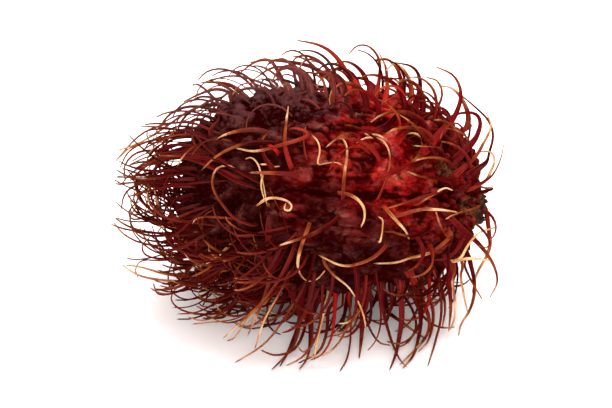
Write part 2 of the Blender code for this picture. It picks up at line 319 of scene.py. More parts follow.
    (0.50, 0.65, 1.20, [(19.6, -12.2, 6), (22.2, -12.2, 8), (23.4, -9.6, 8.4), (25.4, -7.2, 8),
        (28.4, -6.4, 7)]),
    (0.60, 0.65, 1.25, [(20.2, -12.6, 6), (23.8, -11.7, 8), (27.4, -12.2, 8)]),
    (0.60, 0.60, 0.55, [(25.8, -6.6, 0), (28.4, -8.4, 2), (27.8, -11.4, 2), (25.8, -14.6, 1),
        (25.2, -18.0, 0)]),
    (0.85, 0.24, 0.30, [(22.0, -8.6, 0), (24.6, -12.6, 2), (25.6, -17.2, 2), (24.8, -21.4, 1),
        (22.9, -23.9, 1), (22.6, -25.8, 1)]),
    (0.55, 0.16, 0.15, [(20.6, -8.6, 0), (22.8, -11.4, 2), (24.2, -15.2, 2), (26.6, -19.2, 2)]),
    (0.95, 0.08, 0.10, [(15.4, -10.6, 0), (17.8, -13.4, 2), (19.4, -17.2, 2), (20.3, -21.0, 1),
        (19.6, -24.4, 1)]),
    (1.00, 0.70, 0.25, [(12.6, -12.6, 0), (14.6, -15.4, 2), (16.8, -18.0, 2), (18.2, -21.6, 1),
        (17.6, -26.6, 0), (15.2, -28.6, 0)]),
    (0.60, 0.30, 0.40, [(13.2, -13.4, 0), (15.4, -18.4, 2), (17.4, -23.0, 2), (17.0, -26.2, 1),
        (14.0, -28.8, 1), (11.8, -30.6, 0)]),
    (0.60, 0.10, 0.15, [(10.4, -14.0, 0), (12.8, -18.8, 2), (14.8, -22.6, 2), (14.9, -25.0, 1),
        (13.4, -27.4, 1), (10.8, -28.2, 1)]),
    (0.50, 0.55, 0.60, [(19.4, -9.8, 0), (21.0, -14.6, 2), (21.8, -19.2, 2), (22.0, -22.6, 1),
        (21.2, -24.6, 1)]),
    (0.40, 0.50, 0.55, [(20.4, -9.0, 0), (22.4, -13.4, 3), (23.2, -18.0, 3), (24.0, -21.4, 2)]),
    # the fringe of the blossom end, from the crown down to the floor
    (0.50, 0.50, 0.30, [(-15.4, 13.6, 0), (-18.4, 15.6, 1), (-22.4, 15.8, 1), (-26.2, 14.9, 1),
        (-29.6, 12.4, 1), (-34.7, 9.0, 1), (-38.9, 7.6, 1)]),
    (0.45, 0.38, 0.20, [(-18.0, 11.6, 0), (-21.0, 13.0, 1), (-25.6, 12.8, 1), (-30.7, 12.4, 1),
        (-35.3, 10.6, 1), (-39.4, 5.8, 1)]),
    (0.42, 0.42, 0.15, [(-19.4, 9.8, 0), (-23.0, 11.4, 0), (-27.0, 10.6, 0), (-31.6, 9.9, 0), (-37.2, 8.2, 0),
        (-38.9, 6.4, 0)]),
    (0.45, 0.28, 0.10, [(-20.6, 8.0, 0), (-24.0, 9.6, 2), (-28.0, 9.8, 2), (-33.2, 9.4, 2), (-37.2, 7.6, 2),
        (-38.6, 4.6, 2)]),
    (0.40, 0.40, 0.05, [(-21.6, 6.0, 0), (-25.6, 6.4, 0), (-31.0, 7.5, 0), (-35.7, 7.6, 0), (-38.3, 5.0, 0),
        (-38.0, 2.4, 0)]),
    (0.40, 0.34, 0.12, [(-22.6, 3.6, 0), (-27.6, 3.4, 0), (-31.6, 4.8, 0), (-34.4, 5.6, 0), (-35.3, 4.5, 0),
        (-33.6, 3.0, 0)]),
    (0.40, 0.48, 0.10, [(-23.0, 2.0, 0), (-27.4, 1.8, 2), (-32.2, 1.9, 2), (-36.3, 2.2, 2), (-39.1, 3.8, 2)]),
    (0.45, 0.40, 0.05, [(-23.2, 1.0, 0), (-28.0, 1.1, 3), (-33.0, 1.9, 3), (-36.3, 1.1, 3), (-38.0, -0.6, 3),
        (-38.3, -2.8, 3)]),
    (0.55, 0.06, 0.00, [(-35.6, 2.2, 3), (-35.8, 0.8, 2), (-35.0, -1.2, 2), (-33.6, -2.9, 2)]),
    (0.40, 0.20, 0.05, [(-23.6, -0.4, 0), (-28.4, -1.8, 0), (-32.4, -3.0, 0), (-34.0, -1.2, 0),
        (-33.5, 1.2, 0)]),
    (0.42, 0.52, 0.12, [(-23.4, -2.2, 0), (-28.2, -3.3, 3), (-33.0, -3.2, 3), (-36.0, -4.5, 3),
        (-37.0, -3.0, 3), (-35.2, -1.8, 3)]),
    (0.42, 0.28, 0.05, [(-22.8, -3.6, 0), (-27.4, -4.6, 2), (-33.0, -4.3, 2), (-36.6, -5.3, 2),
        (-37.3, -3.5, 2), (-35.8, -2.0, 2)]),
    (0.42, 0.42, 0.10, [(-22.0, -5.4, 0), (-27.6, -7.5, 1), (-33.0, -8.2, 1), (-36.2, -7.2, 1),
        (-37.3, -4.7, 1), (-36.0, -3.0, 1)]),
    (0.45, 0.20, 0.02, [(-21.4, -6.6, 0), (-27.0, -9.0, 0), (-31.6, -9.2, 0), (-35.3, -8.5, 0),
        (-36.9, -6.1, 0)]),
    (0.50, 0.38, 0.00, [(-20.6, -7.8, 0), (-24.6, -10.2, 2), (-28.4, -11.8, 2), (-32.9, -10.9, 2),
        (-36.2, -7.8, 2), (-36.8, -5.8, 2)]),
    (0.50, 0.46, 0.00, [(-20.4, -9.0, 0), (-26.6, -11.6, 1), (-31.2, -12.3, 1), (-34.4, -11.6, 1),
        (-35.0, -9.7, 1), (-33.6, -8.4, 1)]),
    (0.40, 0.52, 0.25, [(-20.8, -9.4, 0), (-26.4, -12.0, 0), (-31.6, -12.6, 0), (-35.0, -12.2, 0),
        (-36.3, -14.0, 0), (-35.7, -15.4, 0)]),
    (0.42, 0.48, 0.35, [(-18.0, -11.4, 0), (-22.6, -14.2, 1), (-27.4, -15.3, 1), (-31.0, -14.9, 1),
        (-34.8, -13.6, 1), (-37.4, -13.3, 1)]),
    (0.42, 0.56, 0.40, [(-18.2, -12.0, 0), (-22.4, -15.6, 1), (-27.0, -16.3, 1), (-31.0, -16.1, 1),
        (-35.5, -15.3, 1), (-38.2, -13.4, 1)]),
    (0.45, 0.42, 0.05, [(-17.6, -12.2, 0), (-22.4, -14.8, 2), (-26.2, -17.2, 2), (-29.4, -18.5, 2),
        (-32.0, -18.7, 2), (-32.6, -16.8, 2)]),
    (0.42, 0.20, 0.00, [(-14.6, -14.0, 0), (-18.4, -16.8, 0), (-22.8, -18.7, 0), (-26.8, -19.9, 0),
        (-29.6, -18.4, 0), (-30.4, -15.4, 0), (-29.4, -12.8, 0)]),
    (0.45, 0.38, 0.10, [(-12.4, -14.6, 0), (-16.4, -18.8, 1), (-20.2, -22.0, 1), (-24.2, -22.3, 1),
        (-27.6, -21.6, 1), (-29.6, -20.0, 1), (-29.4, -18.2, 1), (-28.0, -17.0, 1)]),
    (0.40, 0.50, 0.40, [(-10.6, -15.4, 0), (-13.6, -20.4, 0), (-17.6, -23.2, 0), (-21.0, -23.6, 0),
        (-25.4, -24.0, 0)]),
    (0.45, 0.62, 0.80, [(-10.0, -16.4, 0), (-13.4, -20.6, 1), (-16.6, -24.2, 1), (-18.0, -26.6, 1),
        (-19.2, -26.9, 1)]),
]
print("spines set by hand:", len(CHOSEN))

# %% From points to smooth lines


def smoothed(points, rounds=4):
    """Corner cutting: each round puts two points a quarter in from the ends of every stretch."""
    points = np.asarray(points, float)
    for _ in range(rounds):
        first = 0.75 * points[:-1] + 0.25 * points[1:]
        second = 0.25 * points[:-1] + 0.75 * points[1:]
        middle = np.stack([first, second], axis=1).reshape(-1, 3)
        points = np.concatenate([points[:1], middle, points[-1:]])
    return points


def rings_along(line, count, bend_weight=0.6):
    """Places for count rings. Each step weighs its share of the length plus bend_weight times its share
    of the turning, and the rings are evenly spread over the weights."""
    steps = np.diff(line, axis=0)
    length = np.linalg.norm(steps, axis=1)
    heading = steps / length[:, None]
    bend = np.zeros(len(line))
    bend[1:-1] = np.arccos(np.clip((heading[1:] * heading[:-1]).sum(1), -1, 1))
    per_step = length / length.sum() + bend_weight * (bend[1:] + bend[:-1]) / (2 * bend.sum() + 1e-6)
    walked = np.concatenate([[0], np.cumsum(per_step)])
    wanted = np.linspace(0, walked[-1], count)
    share = np.interp(wanted, walked, np.concatenate([[0], np.cumsum(length)]) / length.sum())
    return np.stack([np.interp(wanted, walked, line[:, axis]) for axis in range(3)], axis=-1), share


print("points in the first line:", len(smoothed(CHOSEN[0][3])))

# %% Pin the lines to the egg
ROOT_SINK = 1.8
LOOSE_FROM = 0.6
EDGE = 0.96


def pinned(points):
    """Out is the skin's own out at that x and up, or 0 past the outline, plus the clearance. A root with
    hardly any clearance is moved onto the outline if it is past it, and starts a little below the skin."""
    level, rise, clear = np.array(points, float).T
    x, up = in_line_with_the_fruit(level, rise)
    rooted = clear[0] < LOOSE_FROM
    if rooted:
        up[0] = np.clip(up[0], -EDGE * egg_radius(x[0]), EDGE * egg_radius(x[0]))
    out = np.sqrt(np.maximum(egg_radius(x) ** 2 - up**2, 0)) + clear
    path = np.stack([x, up, out], axis=-1)
    if rooted:
        path = np.concatenate([path[:1] - ROOT_SINK * egg_normal(path[:1]), path])
    return smoothed(path)


chosen_paths = [pinned(points) for _, _, _, points in CHOSEN]
chosen_roots = np.array([path[0] for path in chosen_paths])
chosen_loose = np.array([points[0][2] >= LOOSE_FROM for _, _, _, points in CHOSEN])
print("loose shreds among them:", int(chosen_loose.sum()))

# %% [markdown]
# ## Where the other spines grow
# Spines sit evenly all over the rind, like the seeds of a sunflower. A golden-angle spiral along the egg
# gives that in one line. Each place is then moved a little, because nothing on a fruit is quite regular.
# Places close to a listed spine are left to it, none stand on the seam or the stalk, and
# many of the spines that faced the viewer have broken off.

# %% Spine places
SPINE_COUNT = 520
GOLDEN_ANGLE = math.pi * (3 - math.sqrt(5))
random = np.random.default_rng(7)

order = np.arange(SPINE_COUNT)
root_x = HALF_LENGTH * (1 - 2 * (order + 0.5) / SPINE_COUNT)
root_x += random.normal(0, 0.35, SPINE_COUNT)
root_x = np.clip(root_x, -HALF_LENGTH * 0.995, HALF_LENGTH * 0.985)
root_around = order * GOLDEN_ANGLE
root_around += random.normal(0, 0.4, SPINE_COUNT) / np.maximum(egg_radius(root_x), 3)
roots = egg_point(root_x, root_around)
wart_height = random.uniform(0.5, 1.3, SPINE_COUNT)
wart_width = random.uniform(1.9, 2.9, SPINE_COUNT)
print("places:", len(roots))

# %% Distance to the seam and to the chosen spines
SEAM_RISE = -1.2
ROOM_FOR_CHOSEN = 2.2


def seam_distance(points):
    """How far a point is above the seam, which runs level though the fruit sags, and wanders a little."""
    wander = 1.1 * noise(points * [1, 0, 0], 8.0, 31) + 0.3 * noise(points * [1, 0, 0], 2.0, 33)
    return points[..., 1] - SEAM_RISE - math.tan(SAG) * points[..., 0] + wander


def near_chosen(places, reach):
    """True where a place is within reach of the root of a listed spine."""
    return (np.linalg.norm(places[:, None] - chosen_roots[None], axis=-1) < reach).any(1)


print("places near a chosen root:", int(near_chosen(roots, ROOM_FOR_CHOSEN).sum()))

# %% Leave places out
SEAM_GAP = 1.4
STALK_GAP = 6.0
BROKEN_IN_FRONT = 0.74
THIN_ON_CROWN = 0.22

facing = smooth_step(0.45, 0.80, egg_normal(roots)[:, 2]) * smooth_step(-24, -14, roots[:, 0])
kept = ~((np.abs(seam_distance(roots)) < SEAM_GAP) & (roots[:, 2] > 5))
kept &= np.linalg.norm(roots - [STALK_X, STALK_UP, 0], axis=1) > STALK_GAP
kept &= random.random(SPINE_COUNT) > BROKEN_IN_FRONT * facing
blossom_crown = smooth_step(-26, -20, roots[:, 0]) * smooth_step(-2, -8, roots[:, 0])
blossom_crown *= smooth_step(8, 12, roots[:, 1])
kept &= random.random(SPINE_COUNT) > THIN_ON_CROWN * blossom_crown
kept &= ~near_chosen(roots, ROOM_FOR_CHOSEN)
print("spine places:", len(roots), "kept:", int(kept.sum()))

# %% [markdown]
# ## The ripe side and the dry side
# This fruit has been picked for some time. The stalk half facing up is still wet and crimson, while the
# blossom half and the belly have dried to a dark maroon. One number from 0, dry, to 1, ripe, steers both
# the relief of the skin here and its colours later. A second one says where a greyish sheen is painted on,
# high on the crown's blossom half, where the light from above and behind falls. Painting both by hand
# would tie them to one mesh, while formulas serve skin and spines alike.

# %% Ripeness


def ripeness(points):
    """Rises from the blossom half to the stalk half and from the belly upwards, with a ragged border, and
    falls by two thirds towards the stalk."""
    ragged = layered(points, 8.0, 11, 3)
    along = smooth_step(-10, 10, points[..., 0] + 6.5 * ragged)
    above = smooth_step(-13, -1, points[..., 1] + 5.0 * ragged + 0.17 * points[..., 0])
    by_the_stalk = smooth_step(9, 20, points[..., 0])
    return along * above * (1 - 0.68 * by_the_stalk)


def bloom_share(points):
    """Where the greyish sheen is painted: 1 high on the crown's blossom half and 0 elsewhere, times 1 - half
    the ripeness.
    """
    on_crown = smooth_step(6, 14, points[..., 1])
    to_blossom = smooth_step(7, -7, points[..., 0])
    return on_crown * to_blossom * (1 - 0.5 * ripeness(points))


print("ripe share of the spine places:", round(float(ripeness(roots).mean()), 2))

# %% [markdown]
# ## The rind's skin
# Each spine stands on its own wart, and the warts meet in creases, like cobbles. For every point of the
# skin the distances to the spines give both: every wart adds a smooth hill that steepens into the foot of
# its spine and folds towards it, and where the nearest two are equally far there is a crease. Ripe skin
# is swollen and smooth, dry skin is lower and wrinkled. The seam is a shallow furrow between uneven
# ridges along the front.

# %% Warts and creases
ALL_ROOTS = np.concatenate([roots, chosen_roots])
FOOT = np.concatenate([np.where(kept, 1.0, 0.0), np.where(chosen_loose, 0.0, 0.9)])
HILL = np.concatenate([np.where(kept, 1.0, 0.25) * wart_height, np.where(chosen_loose, 0.0, 0.8)])
HILL_WIDTH = np.concatenate([wart_width, np.full(len(chosen_roots), 2.2)])
FOLDS = random.integers(5, 9, len(ALL_ROOTS))


def wart_field(points, chunk=3000):
    """For each point: the hills, height exp(-(distance / width) squared) summed over all spines, plus for
    the nearest spine its foot, exp(-distance / 0.7), and its folds, a cosine of the angle round the
    spine; and how much farther the second nearest spine is than the nearest."""
    hills = np.empty(len(points))
    between = np.empty(len(points))
    for start in range(0, len(points), chunk):
        some = points[start:start + chunk]
        squared = ((some[:, None, :] - ALL_ROOTS[None, :, :]) ** 2).sum(-1)
        nearest = squared.argmin(1)
        closest = np.sqrt(np.partition(squared, 1, axis=1)[:, :2])
        offset = some - ALL_ROOTS[nearest]
        angle = np.arctan2(offset[:, 1] + 0.7 * offset[:, 2], offset[:, 0])
        round_foot = np.exp(-((closest[:, 0] - 1.5) ** 2))
        folds = 0.10 * np.cos(FOLDS[nearest] * angle + nearest) * round_foot
        foot = FOOT[nearest] * np.exp(-closest[:, 0] / 0.7)
        hills[start:start + chunk] = (HILL * np.exp(-squared / HILL_WIDTH**2)).sum(1) + foot + folds
        between[start:start + chunk] = closest[:, 1] - closest[:, 0]
    return hills, between


print("warts:", len(ALL_ROOTS), "of which carry a spine:", int((FOOT > 0).sum()))

# %% Lumps and cork
LUMPS = [
    # level, rise, radius and height of the big lumps that stand alone on the dry part of the front
    (-15.2, -3.9, 2.6, 1.5), (-16.8, 12.6, 2.8, 1.3), (-9.4, -6.8, 2.2, 0.9), (-6.2, 2.4, 2.4, 0.8),
    (2.6, -5.8, 2.6, 0.9), (-20.4, -1.6, 2.0, 0.9), (11.4, -10.6, 2.4, 0.8), (-12.6, -10.4, 2.4, 1.0),
]


def lump_field(points):
    """The big lumps of the front: their height within 0.35 radii, eased to 0 at 1.25 radii."""
    total = np.zeros(len(points))
    for level, rise, radius, height in LUMPS:
        x, up = in_line_with_the_fruit(level, rise)
        away = np.hypot(points[:, 0] - x, points[:, 1] - up) + 0.5 * noise(points, 1.7, 71)
        total += height * smooth_step(1.25, 0.35, away / radius) * (points[:, 2] > 0)
    return total


CRUSTS = [
    # level, rise and radius of the corky patches near the stalk
    (19.2, 4.3, 2.0), (24.0, -2.6, 2.3),
]


def crustiness(points):
    """1 in the corky patches near the stalk and 0 outside, with a border broken up by noise."""
    total = np.zeros(len(points))
    for level, rise, radius in CRUSTS:
        x, up = in_line_with_the_fruit(level, rise)
        away = np.hypot(points[:, 0] - x, 1.25 * (points[:, 1] - up)) + 0.8 * noise(points, 1.3, 73)
        total = np.maximum(total, smooth_step(1.0, 0.75, away / radius) * (points[:, 2] > -1))
    ring = np.linalg.norm(points - [STALK_X, STALK_UP, 0], axis=1) + 0.9 * noise(points, 1.6, 75)
    return np.maximum(total, smooth_step(4.8, 3.9, ring))


print("lumps:", len(LUMPS), "corky patches:", len(CRUSTS))

# %% Skin relief


def skin_relief(points):
    """Hills of the warts and broad lumps, less the creases, the wrinkles where it is dry, and the seam's
    furrow, plus the rails beside the seam and the cork, and dying out at both poles so that they stay
    closed."""
    hills, between = wart_field(points)
    ripe = ripeness(points)
    front = smooth_step(1, 8, points[:, 2])
    across = seam_distance(points)
    crease = np.exp(-((between / 0.45) ** 2)) * (0.34 - 0.24 * ripe)
    crease = crease * smooth_step(-0.6, 0.4, noise(points, 4.0, 41))
    lumps = 0.75 * layered(points, 7.0, 3, 2) + 0.30 * layered(points * [0.6, 1, 1], 3.2, 5, 2)
    folded = (1 - np.abs(noise(points * [0.4, 1, 1], 1.6, 17))) ** 3
    crinkled = (1 - np.abs(noise(points, 0.9, 19))) ** 4
    wrinkles = folded * (0.62 - 0.30 * ripe) + 0.24 * crinkled * (1 - 0.6 * ripe)
    pebbles = 0.10 * layered(points * [0.6, 1, 1], 0.9, 23, 2)
    furrow = 0.36 * np.exp(-((across / 0.5) ** 2)) * front * smooth_step(-0.5, 0.3, noise(points, 4.0, 53))
    ruffled = noise(points * [0.12, 1, 1], 0.85, 47) + 0.5 * noise(points * [0.2, 1, 1], 0.45, 49)
    to_stalk = smooth_step(4, 16, points[:, 0])
    rails = (0.50 + 0.25 * to_stalk) * ruffled * np.exp(-((across / (2.6 + to_stalk)) ** 2)) * front
    quiet = 1 - 0.7 * np.exp(-((across / (1.8 + 0.8 * to_stalk)) ** 2)) * front
    cork = 0.5 * crustiness(points) * (0.6 + np.abs(noise(points, 0.7, 77)))
    from_pole = HALF_LENGTH - np.abs(points[:, 0]) + 0.6 * np.hypot(points[:, 1], points[:, 2])
    rough = (hills + pebbles) * quiet - crease + lumps - wrinkles - furrow + rails + lump_field(points)
    return rough * smooth_step(0, 5, from_pole) + cork


print("relief at the spines' roots:", round(float(skin_relief(roots).mean()), 2), "mm")

# %% Points of the skin
SKIN_ROWS = 236
SKIN_COLUMNS = 400
NARROW_REACH = 3
WIDE_REACH = 11


def skin_points():
    """Rings from the stalk's pole to the blossom's, closer near the poles because x is a cosine."""
    turn = np.linspace(0, math.pi, SKIN_ROWS + 2)[1:-1]
    around = np.linspace(0, 2 * math.pi, SKIN_COLUMNS, endpoint=False)
    x = HALF_LENGTH * np.cos(turn)[:, None] + 0 * around[None, :]
    plain = egg_point(x, around[None, :] + 0 * x)
    poles = np.array([[HALF_LENGTH, 0, 0], [-HALF_LENGTH, 0, 0]])
    flat = np.concatenate([plain.reshape(-1, 3), poles])
    relief = skin_relief(flat)
    return flat + egg_normal(flat) * relief[:, None], relief


def cavities(relief, reach):
    """How much lower each point is than a running mean of its rows and columns."""
    grid = relief[:-2].reshape(SKIN_ROWS, SKIN_COLUMNS)
    steps = range(-reach, reach + 1)
    level = sum(np.roll(grid, step, axis=1) for step in steps) / len(steps)
    rows = np.arange(SKIN_ROWS)
    level = sum(level[np.clip(rows + step, 0, SKIN_ROWS - 1)] for step in steps) / len(steps)
    return np.concatenate([(level - grid).ravel(), [0, 0]])


skin, relief = skin_points()
# The cavity measure also masks the shade that the skin's material paints into the hollows.
cavity = 0.8 * cavities(relief, NARROW_REACH) + 0.5 * cavities(relief, WIDE_REACH)
print("skin relief in mm: from", round(relief.min(), 2), "to", round(relief.max(), 2))

# %% [markdown]
# ## From arrays to a mesh
# A ring grid becomes quads, and each open end is closed by a fan to one last point. Values such as
# ripeness ride on the points as attributes, so that a material can read them.

# %% Mesh helpers


def ring_faces(rings, sides):
    """Quads between neighbouring rings of this many sides, with the points numbered ring by ring."""
    ring, side = np.meshgrid(np.arange(rings - 1), np.arange(sides), indexing="ij")
    here = ring * sides + side
    beside = ring * sides + (side + 1) % sides
    return np.stack([here, here + sides, beside + sides, beside], axis=-1).reshape(-1, 4)


def fan_faces(start, sides, tip, backwards):
    """Triangles from one ring to one point. Backwards turns them over, as at the root of a tube."""
    side = np.arange(sides)
    here = start + side
    beside = start + (side + 1) % sides
    point = np.full(sides, tip)
    return np.stack([beside, here, point] if backwards else [here, beside, point], axis=-1)


def make_piece(name, points, faces, cad_node, slot, **values):
    """One smooth mesh from points in fruit millimetres, with each further value stored on the points."""
    mesh = bpy.data.meshes.new(name)
    mesh.from_pydata(placed(points).tolist(), [], [face for group in faces for face in group.tolist()])
    for key, value in values.items():
        layer = mesh.attributes.new(key, "FLOAT", "POINT")
        layer.data.foreach_set("value", np.ascontiguousarray(value, np.float32))
    mesh.shade_smooth()
    mesh.update()
    piece = bpy.data.objects.new(name, mesh)
    bpy.context.scene.collection.objects.link(piece)
    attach(piece, "root")
    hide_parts(cad_node)
    triangles = sum(len(face) * (face.shape[1] - 2) for face in faces)
    print(name, "triangles:", triangles)
    return piece


print("quads between two rings of four:", len(ring_faces(2, 4)))

# %% Build the skin
last = SKIN_ROWS * SKIN_COLUMNS
skin_faces = [
    ring_faces(SKIN_ROWS, SKIN_COLUMNS),
    fan_faces(0, SKIN_COLUMNS, last, backwards=False),
    fan_faces(last - SKIN_COLUMNS, SKIN_COLUMNS, last + 1, backwards=True),
]
rind_skin = make_piece("rind_skin", skin, skin_faces, "rind", "rind", ripe=ripeness(skin), cavity=cavity,
                       crust=crustiness(skin), bloom=bloom_share(skin))

# %% [markdown]
# ## How a spine grows and dries
# A spine leaves its wart along the normal and then curls over towards the blossom end, more and more
# towards its tip. It could be drawn as a Bezier curve, but hundreds of them need a rule: each is walked
# in short steps, all of them at once, and each step turns the walking direction a little about that
# spine's own bending axis. A walk that would enter the fruit slides along it, and one that reaches the
# floor is laid along the floor.

# %% Walking the spines
STEPS = 24
FREE_STEPS = 3
CLEAR_BY_STEP = 8
SKIN_CLEARANCE = 1.3
FLOOR_CLEARANCE = 0.65
DOWN = -np.array([ALONG[2], CROWN[2], FRONT[2]])


def turned(vectors, axes, angles):
    """Rodrigues' rotation: v cos a + (axis x v) sin a + axis (axis . v)(1 - cos a)."""
    cosine = np.cos(angles)[:, None]
    sine = np.sin(angles)[:, None]
    along_axis = (axes * vectors).sum(-1, keepdims=True) * axes
    return vectors * cosine + np.cross(axes, vectors) * sine + along_axis * (1 - cosine)


def height_above_floor(points):
    """The height of the centre less how far down the point is from it."""
    return FLOOR_BELOW - points @ DOWN


def keep_clear(points, heading, clearance):
    """Pushes points out of the fruit and off the floor, and turns headings along what they touch."""
    inside = clearance * SKIN_CLEARANCE - egg_depth(points)
    pushing = inside > 0
    normal = egg_normal(points)
    points = np.where(pushing[:, None], points + normal * inside[:, None], points)
    inward = (heading * normal).sum(-1)
    slide = pushing & (inward < 0)
    heading = np.where(slide[:, None], unit(heading - 1.15 * inward[:, None] * normal), heading)
    below = FLOOR_CLEARANCE - height_above_floor(points)
    sinking = below > 0
    points = np.where(sinking[:, None], points - DOWN * below[:, None], points)
    falling = (heading * DOWN).sum(-1)
    level = sinking & (falling > 0)
    heading = np.where(level[:, None], unit(heading - falling[:, None] * DOWN + 1e-6), heading)
    return points, heading


def walk(start, heading, axes, length, turn, gather, twist, wander):
    """The middle lines, (spine, ring, 3). Turn is the whole angle, and each step has share to the power
    gather of it. Twist turns the bending axis on the way, and wander adds noise to the direction."""
    share = (np.arange(STEPS) + 0.5) / STEPS
    weight = share[None, :] ** gather[:, None]
    weight = weight / weight.sum(1, keepdims=True)
    lines = [start]
    point = start
    for step in range(STEPS):
        heading = turned(heading, axes, turn * weight[:, step])
        axes = turned(axes, heading, twist / STEPS)
        wobble = np.stack([noise(point + 50 * k, 4.0, 61 + k) for k in range(3)], axis=-1)
        heading = unit(heading + wander * wobble)
        point = point + heading * (length / STEPS)[:, None]
        if step >= FREE_STEPS:
            point, heading = keep_clear(point, heading, min(step / CLEAR_BY_STEP, 1))
        lines.append(point)
    return np.stack(lines, axis=1)


print("steps in a walk:", STEPS, "of which free to leave the skin:", FREE_STEPS)

# %% [markdown]
# ## The body of a spine
# A fresh spine is round. As it dries it flattens to a strap, thick and wide at its root and drawn out to
# a hair at its tip, and it twists. So the section is an ellipse whose width and thickness are functions
# of the share of the length, carried along the walk without rolling and then twisted. Rings are closer
# where the spine bends more, so a spine needs few faces.

# %% Sweeping the section


def carried_frames(lines):
    """Tangents, and a side direction that starts square to the view and is carried without roll."""
    tangent = unit(np.gradient(lines, axis=1))
    side = unit(np.cross(tangent[:, 0], np.array([0.05, 0.05, 1.0])))
    sides = []
    for ring in range(lines.shape[1]):
        here = tangent[:, ring]
        side = unit(side - (side * here).sum(-1, keepdims=True) * here)
        sides.append(side)
    return tangent, np.stack(sides, axis=1)


def sweep(lines, width, flatness, roll, sides):
    """Rings of an ellipse, half width cos by half width flatness sin, turned by roll at each ring."""
    tangent, side = carried_frames(lines)
    other = np.cross(tangent, side)
    angle = np.linspace(0, 2 * math.pi, sides, endpoint=False)[None, None, :]
    across = width[..., None] * np.cos(angle)
    through = (width * flatness)[..., None] * np.sin(angle)
    cos_roll = np.cos(roll)[..., None]
    sin_roll = np.sin(roll)[..., None]
    first = across * cos_roll - through * sin_roll
    second = across * sin_roll + through * cos_roll
    sideways = first[..., None] * side[:, :, None, :]
    outwards = second[..., None] * other[:, :, None, :]
    return lines[:, :, None, :] + sideways + outwards


# %% Many tubes in one mesh


def tube_mesh(name, paths, rings, sides, half, tip, flare, power, flatness, roll, loose=False, **values):
    """One piece of many tapered tubes, each closed by a fan at its root and at its tip. Half width is tip
    plus (half - tip)(1 - share) to a power, with a flare that dies out near the root. A loose shred,
    whose root is clear of the skin, is drawn in at that end too. Roll is the angle at the root and what
    is added to the tip. The share of the length and the cosine and sine round each ring are stored for
    the material."""
    ringed = [rings_along(path, rings) for path in paths]
    lines = np.stack([line for line, _ in ringed])
    share = np.stack([shares for _, shares in ringed]).clip(0, 1)
    count = len(lines)
    width = tip[:, None] + (half - tip)[:, None] * (1 - share) ** power[:, None]
    drawn = width * (0.35 + 0.65 * smooth_step(0, 0.16, share))
    flared = width + flare[:, None] * np.exp(-share / 0.06)
    width = np.where(np.broadcast_to(loose, count)[:, None], drawn, flared)
    flat = flatness[:, None] + (0.85 - flatness[:, None]) * share**2 + 0.35 * np.exp(-share / 0.05)
    swept = sweep(lines, width, flat, roll[:, :1] + roll[:, 1:] * share, sides)
    end = lines[:, -1] + 0.4 * (lines[:, -1] - lines[:, -2])
    points = np.concatenate([swept.reshape(count, -1, 3), lines[:, :1], end[:, None]], axis=1)
    each = points.shape[1]
    quads = ring_faces(rings, sides)
    root_fan = fan_faces(0, sides, each - 2, backwards=True)
    tip_fan = fan_faces((rings - 1) * sides, sides, each - 1, backwards=False)
    shift = (np.arange(count) * each)[:, None, None]
    faces = [(group[None] + shift).reshape(-1, group.shape[1]) for group in (quads, root_fan, tip_fan)]
    angle = np.linspace(0, 2 * math.pi, sides, endpoint=False)
    ends = np.zeros((count, 1))
    values = {key: np.repeat(value, each) for key, value in values.items()}
    values["along"] = np.concatenate([np.repeat(share, sides, axis=1), ends, ends + 1], axis=1).ravel()
    values["side"] = np.tile(np.concatenate([np.tile(np.cos(angle), rings), [0, 0]]), count)
    values["face"] = np.tile(np.concatenate([np.tile(np.sin(angle), rings), [0, 0]]), count)
    return make_piece(name, points.reshape(-1, 3), faces, "rind", "rind", **values)


SPINE_RINGS = 13
SPINE_SIDES = 5
print("faces in a spine:", (SPINE_RINGS + 1) * SPINE_SIDES)

# %% [markdown]
# ## All the spines
# Their characters follow where they grow. Those of the crown stand up and curl over to the blossom end,
# those of the stalk end bend back in wide hooks, those of the blossom end stream away and close like a
# brush, and those of the belly hang to the floor and hook at their tips. Chance does the rest, from one
# generator with a fixed seed, so every run draws the same fruit.

# %% Characters of the spines
BACK = np.array([-1.0, 0.0, 0.0])
SPINE_WANDER = 0.04
USUAL_LENGTH = 14.6
USUAL_TURN = 112


